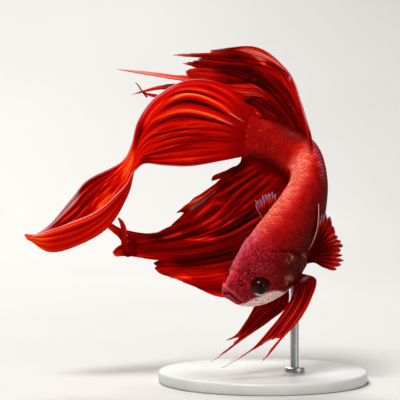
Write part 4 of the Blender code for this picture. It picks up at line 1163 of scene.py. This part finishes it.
def skinMaterial(name, scaled):
    # Fish skin: red pigment cells under clear slime, so soft red with a broken wet gloss; painted shade on
    # the flank, painted light over the back and a painted highlight along the free edge of each scale.
    material, add, shader = newMaterial(name, IOR=1.4, Specular_IOR_Level=0.05)
    where = add("TexCoord", out=3)
    blotch, fine, speck, glint = [
        add("TexNoise", {"Vector": where, "Scale": 1 / (size * mm), "Detail": detail})
        for size, detail in skinLook["grain"]]
    crimson, light, paintedRimLight, paintedLightRise = [add("Attribute", out=2, attribute_name=part)
                                   for part in ("crimson", "light", "paintedRimLight", "paintedLightRise")]
    # both ramps run from painted shade on the flank to painted light over the back
    shifted = add("Math", (blotch, 0.5), "SUBTRACT")
    shifted = add("Math", (shifted, 0.16, paintedLightRise), "MULTIPLY_ADD")
    trunk, front = [add("ValToRGB", (shifted,), stops=skinLook[part]) for part in ("trunk", "front")]
    mottle = add("ValToRGB", (fine,), stops=skinLook["mottle"])
    front = add("Mix", {0: 1.0, 6: front, 7: mottle}, out=2, data_type="RGBA", blend_type="MULTIPLY")
    # painted rim light tints the head's upper edge and the near edge of the turn
    tone = paint(add, trunk, [((crimson,), front), ((paintedRimLight, 0.25), "#a83458")])
    if scaled:
        run, across, own = [add("Attribute", out=2, attribute_name=part) for part in ("run", "across", "own")]
        # painted shade at the root, where it lies under the scale in front; a painted highlight crescent
        # along the free edge, stronger on some scales than on others, strongest in the painted light band and
        # rim light
        root = add("MapRange", (run, 0.62, 0.25, 0.0, 0.6), **soft)
        crescentHighlight = add("Math", (across, 2.0), "POWER")
        crescentHighlight = add("Math", (crescentHighlight, -0.1, run), "MULTIPLY_ADD")
        crescentHighlight = add("MapRange", (crescentHighlight, 0.56, 0.92), **soft)
        some = add("MapRange", (own, 0.0, 1.0, 0.25))
        upper = add("MapRange", (across, -0.5, 0.5, 0.25))     # the side towards the back catches more light
        some = add("Math", (some, upper), "MULTIPLY")
        most = add("Math", (light, 1.1, 0.015), "MULTIPLY_ADD")
        most = add("Math", (paintedRimLight, 0.7, most), "MULTIPLY_ADD", use_clamp=True)
        most = add("Math", (most, some), "MULTIPLY")
        pinker = add("Math", (crimson, paintedRimLight), "MAXIMUM")
        paler = paint(add, hexColor("#ff9c82"), [((pinker,), "#e8708a")])
        tone = paint(add, tone, [((root,), "#6a0306"), ((crescentHighlight, most), paler)])
        odd = add("MapRange", (own, 0.0, 1.0, 0.82, 1.18))
        tone = add("Mix", {0: 1.0, 6: tone, 7: odd}, out=2, data_type="RGBA", blend_type="MULTIPLY")
    patchy = add("MapRange", (fine, 0.28, 0.48, 0.5), **soft)
    spotty = add("MapRange", (speck, 0.42, 0.6), **soft)
    sparkle = add("MapRange", (glint, 0.42, 0.7), **soft)
    creamTone = add("ValToRGB", (speck,), stops=skinLook["cream"])
    # painted glints on the crimson head; painted shade in the mouth's slit, behind the gill cover and in the
    # dorsal groove
    tone = paint(add, tone, [
        (("cream", patchy), creamTone), (("end", 0.75), "#a80503"), ((crimson, 0.34, sparkle), "#ee4658"),
        (("pale", 0.55, spotty), "#d89468"), (("lip", 0.5), "#c03c4a"), (("lid", 0.85), "#d8987c"),
        (("mouth", 0.9), "#2a0206"), (("shade", 0.85), "#300206")])
    both = add("Math", (speck, fine), "ADD")
    wire(shader, {"Base Color": tone, "Roughness": add("MapRange", (fine, 0.3, 0.7, 0.36, 0.58)),
                  "Normal": add("Bump", {"Strength": 0.35, "Distance": 0.06 * mm, "Height": both})})
    return material


# each membrane's pattern, its red from painted shade in the valleys to painted light on the ridges,
# and the colours of its rims, tips and root
membranes = {
    "tailFinMembrane": {
        "streaks": 42.0, "seed": 1.0, "rayCount": 60, "foldShare": 0.1, "hairShare": 0.45, "level": 0.53,
        "stops": [(0.06, "#300102"), (0.3, "#900302"), (0.5, "#cc0502"), (0.7, "#f01a05"),
                  (0.87, "#ff4610"), (1.0, "#ff7c38")],
        "pale": "#f4dce8", "tip": "#f6d6dc", "root": "#960403"},
    "dorsalFinMembrane": {
        "streaks": 38.0, "seed": 5.0, "rayCount": 46, "foldShare": 0.05, "hairShare": 0.34, "level": 0.42,
        "stops": [(0.06, "#240101"), (0.32, "#5c0202"), (0.54, "#aa0503"), (0.74, "#e01a0c"),
                  (0.9, "#fa5038"), (1.0, "#ff8668")],
        "pale": "#f2b4b8", "tip": "#ee6a50", "root": "#4a0202"},
    "analFinMembrane": {
        "streaks": 44.0, "seed": 9.0, "rayCount": 56, "foldShare": 0.05, "streakShare": 0.36,
        "hairShare": 0.4, "level": 0.42,
        "stops": [(0.06, "#220101"), (0.32, "#700202"), (0.52, "#b40402"), (0.72, "#e81606"),
                  (0.9, "#ff421a"), (1.0, "#ff7a48")],
        "pale": "#c8908c", "tip": "#d84a34", "tipShare": 0.3, "root": "#7c0303"},
    "breastFinMembrane": {
        "streaks": 26.0, "seed": 13.0, "rayCount": 13, "foldShare": 0.2, "streakShare": 0.6,
        "hairShare": 0.45, "level": 0.4,
        "stops": [(0.08, "#2c0103"), (0.4, "#780505"), (0.7, "#b81a10"), (1.0, "#ee5a36")],
        "pale": "#f4a896", "tip": "#bcb4dc", "tipShare": 0.55, "root": "#7c0505", "through": 0.3},
    "bellyFinMembrane": {
        "streaks": 18.0, "seed": 17.0, "rayCount": 10, "foldShare": 0.16, "streakShare": 0.6,
        "hairShare": 0.45, "level": 0.46,
        "stops": [(0.08, "#3c0203"), (0.4, "#880504"), (0.7, "#c81410"), (1.0, "#f84428")],
        "pale": "#f3d2cc", "tip": "#f8f4f0", "tipShare": 0.9, "root": "#a01010"},
}
plainMembrane = {"streakShare": 0.4, "tipShare": 0.5, "through": 0.25}


def membraneMaterial(name, look):
    # Fin membrane: two clear skins over thin bony rays, dyed red, with painted shade deep in the valleys and
    # painted light bright on the pleats' ridges, thin enough to let light through, with a faint wet gloss.
    material, add, shader = newMaterial(name, Roughness=0.6, IOR=1.38, Specular_IOR_Level=0.012)
    unwrap = add("TexCoord", out=2)
    alongU, alongV = [add("SeparateXYZ", (unwrap,), out=part) for part in (0, 1)]
    fold, lit = [add("Attribute", out=2, attribute_name=part) for part in ("fold", "lit")]
    # streaks, hairs and broad patches, drawn out along the rays: how many across and down, and their detail
    patterns = []
    fine = look["streaks"]
    for across, down, shift, detail in ((fine, 2.4, 0, 3.0), (fine * 3.5, 5.0, 3, 2.0), (9.0, 1.6, 7, 1.0)):
        place = add("CombineXYZ", (add("Math", (alongU, across), "MULTIPLY"),
                                   add("Math", (alongV, down), "MULTIPLY"), look["seed"] + shift))
        noise = add("TexNoise", {"Vector": place, "Scale": 1.0, "Detail": detail})
        patterns.append(add("Math", (noise, 0.5), "SUBTRACT"))
    streak, hair, broad = patterns
    rays = add("Math", (alongU, 2 * math.pi * look["rayCount"]), "MULTIPLY")
    rays = add("Math", (rays,), "SINE")
    value = add("Math", (lit, look["level"]), "ADD")
    for part, share in ((fold, look["foldShare"]), (broad, 0.5), (streak, look["streakShare"]),
                        (hair, look["hairShare"])):
        value = add("Math", (part, share, value), "MULTIPLY_ADD")
    value = add("Math", (rays, 0.05, value), "MULTIPLY_ADD", use_clamp=True)
    tone = add("ValToRGB", (value,), stops=look["stops"])
    broken = add("MapRange", (hair, -0.22, 0.05, 0.25))
    # where it leaves the body it has the body's own red
    tone = paint(add, tone, [(("root", 0.9), look["root"]), (("pale", 0.9, broken), look["pale"]),
                             (("tip", look["tipShare"], broken), look["tip"])])
    height = add("Math", (rays, 0.35, hair), "MULTIPLY_ADD")
    bumps = add("Bump", {"Strength": 0.35, "Distance": 0.1 * mm, "Height": height})
    wire(shader, {"Base Color": tone, "Normal": bumps})
    through = add("BsdfTranslucent", {"Color": tone, "Normal": bumps})
    both = add("MixShader", (look["through"], shader.outputs[0], through))
    wire(material.node_tree.nodes["Material Output"], {"Surface": both})
    return material


def eyeMaterial():
    # Wet fish eye: a black pupil in a thin dark red iris under a clear cornea, with a painted bluish-white
    # reflection along the lower edge.
    material, add, shader = newMaterial("wetFishEye", Roughness=0.1, IOR=1.376, Specular_IOR_Level=0.16)
    tilt, under, around = [add("Attribute", out=2, attribute_name=part)
                           for part in ("tilt", "under", "round")]
    spokes = [add("Math", (part, times), "MULTIPLY") for part, times in ((around, 26.0), (tilt, 3.0))]
    spokes = add("CombineXYZ", (*spokes, 0.0))
    spokes = add("TexNoise", {"Vector": spokes, "Scale": 1.0, "Detail": 2.0})
    tone = add("ValToRGB", (spokes,), stops=[(0.3, "#1c0103"), (0.55, "#340204"), (0.75, "#540605")])
    pupil, iris = eye["pupil"] / 90, eye["iris"] / 90
    inside = add("MapRange", (tilt, pupil + 0.03, pupil - 0.015))
    outside = add("MapRange", (tilt, iris - 0.03, iris + 0.05))
    # painted reflection: a bluish-white band round the iris towards the lower edge
    paintedLowReflection = [add("MapRange", (part, low, high), **soft)
             for part, low, high in ((tilt, 0.5, 0.6), (tilt, 0.9, 0.8), (under, 0.6, 0.85))]
    tone = paint(add, tone, [((inside,), "#030304"), ((outside,), "#14030a"), (("redSide",), "#a8321e"),
                             (paintedLowReflection, "#a9bccb")])
    wire(shader, {"Base Color": tone})
    return material


def acrylicMaterial():
    # Cast acrylic, wet-sanded to a satin face: a soft even sheen with faint cloudiness.
    material, add, shader = newMaterial("satinCastAcrylic", IOR=1.49)
    where = add("TexCoord", out=3)
    cloud = add("TexNoise", {"Vector": where, "Scale": 1 / (9 * mm), "Detail": 3.0})
    # the sanding marks are drawn coarse
    grit = add("TexNoise", {"Vector": where, "Scale": 1 / (0.3 * mm), "Detail": 2.0})
    wire(shader, {"Base Color": add("ValToRGB", (cloud,), stops=[(0.3, "#c6c6c3"), (0.7, "#d2d2cf")]),
                  "Roughness": add("MapRange", (grit, 0.3, 0.7, 0.28, 0.42)),
                  "Normal": add("Bump", {"Strength": 0.1, "Distance": 0.02 * mm, "Height": grit})})
    return material


def steelMaterial():
    # Drawn stainless rod, brushed round and round: fine rings, a bright line down its length.
    material, add, shader = newMaterial("brushedStainlessSteel", Metallic=1.0)
    # the brushed rings are drawn coarse
    squeezed = add("VectorMath", (add("TexCoord", out=3), (120.0, 120.0, 1 / (0.15 * mm))), "MULTIPLY")
    rings = add("TexNoise", {"Vector": squeezed, "Scale": 1.0, "Detail": 2.0})
    wire(shader, {"Base Color": add("ValToRGB", (rings,), stops=[(0.3, "#b2b4b6"), (0.7, "#c4c6c7")]),
                  "Roughness": add("MapRange", (rings, 0.3, 0.7, 0.33, 0.38))})
    return material


finishes = {name: membraneMaterial(name, {**plainMembrane, **look}) for name, look in membranes.items()}
give(skin, skinMaterial("wetFishSkin", False), "scaled_skin", "head", "lower_jaw", "gill_cover_left",
     "gill_cover_right", "trunk_front", "trunk_middle", "trunk_rear", "tail_stalk")
scaleFinish = skinMaterial("redFishScales", True)
give(headScales, scaleFinish, "head_skin")
give(trunkScales, scaleFinish, "scaled_skin")
eyeFinish = eyeMaterial()
give(eyes[1], eyeFinish, "eyes", "eye_left")
give(eyes[-1], eyeFinish, "eyes", "eye_right")
for name, look in fins.items():
    give(finPieces[name], finishes[look["finish"]], "fins", *look["standsFor"])
for name, piece in strands.items():
    give(piece, finishes["analFinMembrane" if name.startswith("anal") else "dorsalFinMembrane"], "fins")
give(standBase, acrylicMaterial(), "base", "stand_base")
give(standRod, steelMaterial(), "rod", "stand_rod")
print("finishes given")

# ---- floor and backdrop in one sweep, soft light, camera
setting = {
    "start": -900.0, "wallAt": 620.0, "curve": 260.0, "halfWidth": 1500.0, "run": 2400.0,
    # each lamp's place, what it aims at, its size, its power
    "lamps": {"keyLight": ((-240, -430, 790), (0, 0, 30), 300, 8.6),
              "fillLight": ((520, -480, 260), (0, 0, 30), 420, 1.1),
              "backLight": ((-160, 520, 560), (0, 0, 40), 300, 4.2)},
    "room": "#f2f1ef", "roomStrength": 0.15,
    "cameraAway": 260.0, "lens": 121.7, "sensor": 36,
}


def buildBackdrop():
    piece, across, down = newGrid("backdrop", 8, 90)
    reach, curve = down * setting["run"], setting["curve"]
    flatRun = setting["wallAt"] - curve - setting["start"]
    turn = np.clip((reach - flatRun) / curve, 0, math.pi / 2)
    y = setting["start"] + np.minimum(reach, flatRun) + curve * np.sin(turn)
    z = curve * (1 - np.cos(turn)) + np.maximum(reach - flatRun - curve * math.pi / 2, 0)
    x = (across * 2 - 1) * setting["halfWidth"]
    setPoints(piece, np.stack([x, y, z], axis=1) - np.array(fish["place"]))
    smoothShade(piece)
    # Seamless roll paper: no gloss, a faint mottle.
    material, add, shader = newMaterial("mattBackgroundPaper", Roughness=0.85)
    cloud = add("TexNoise", {"Vector": add("TexCoord", out=3), "Scale": 6.0, "Detail": 2.0})
    wire(shader, {"Base Color": add("ValToRGB", (cloud,), stops=[(0.3, "#c3c1be"), (0.7, "#c9c7c4")])})
    piece.data.materials.append(material)


def addSoftbox(name, at, aim, size, power):
    # places in millimetres over the stand
    way = Vector(aim) - Vector(at)
    clearSelection()
    bpy.ops.object.light_add(type="AREA", location=[value * mm for value in at],
                             rotation=way.to_track_quat("-Z", "Y").to_euler())
    lamp = bpy.context.object
    lamp.name = name
    lamp.data.shape = "SQUARE"
    lamp.data.size = size * mm
    lamp.data.energy = power


buildBackdrop()
for name, lamp in setting["lamps"].items():
    addSoftbox(name, *lamp)
room = bpy.data.worlds.new("paleRoom")
bpy.context.scene.world = room
room.use_nodes = True
wire(room.node_tree.nodes["Background"], (hexColor(setting["room"]), setting["roomStrength"]))

clearSelection()
bpy.ops.object.camera_add(location=inPlace((0, -setting["cameraAway"], 0)), rotation=(math.pi / 2, 0, 0))
camera = bpy.context.object
camera.data.lens = setting["lens"]
camera.data.sensor_width = setting["sensor"]
camera.data.clip_start = 0.01
bpy.context.scene.camera = camera
bpy.context.scene.view_settings.view_transform = "Standard"   # keeps the reds as they are mixed
print("camera and light set")

bpy.context.view_layer.update()
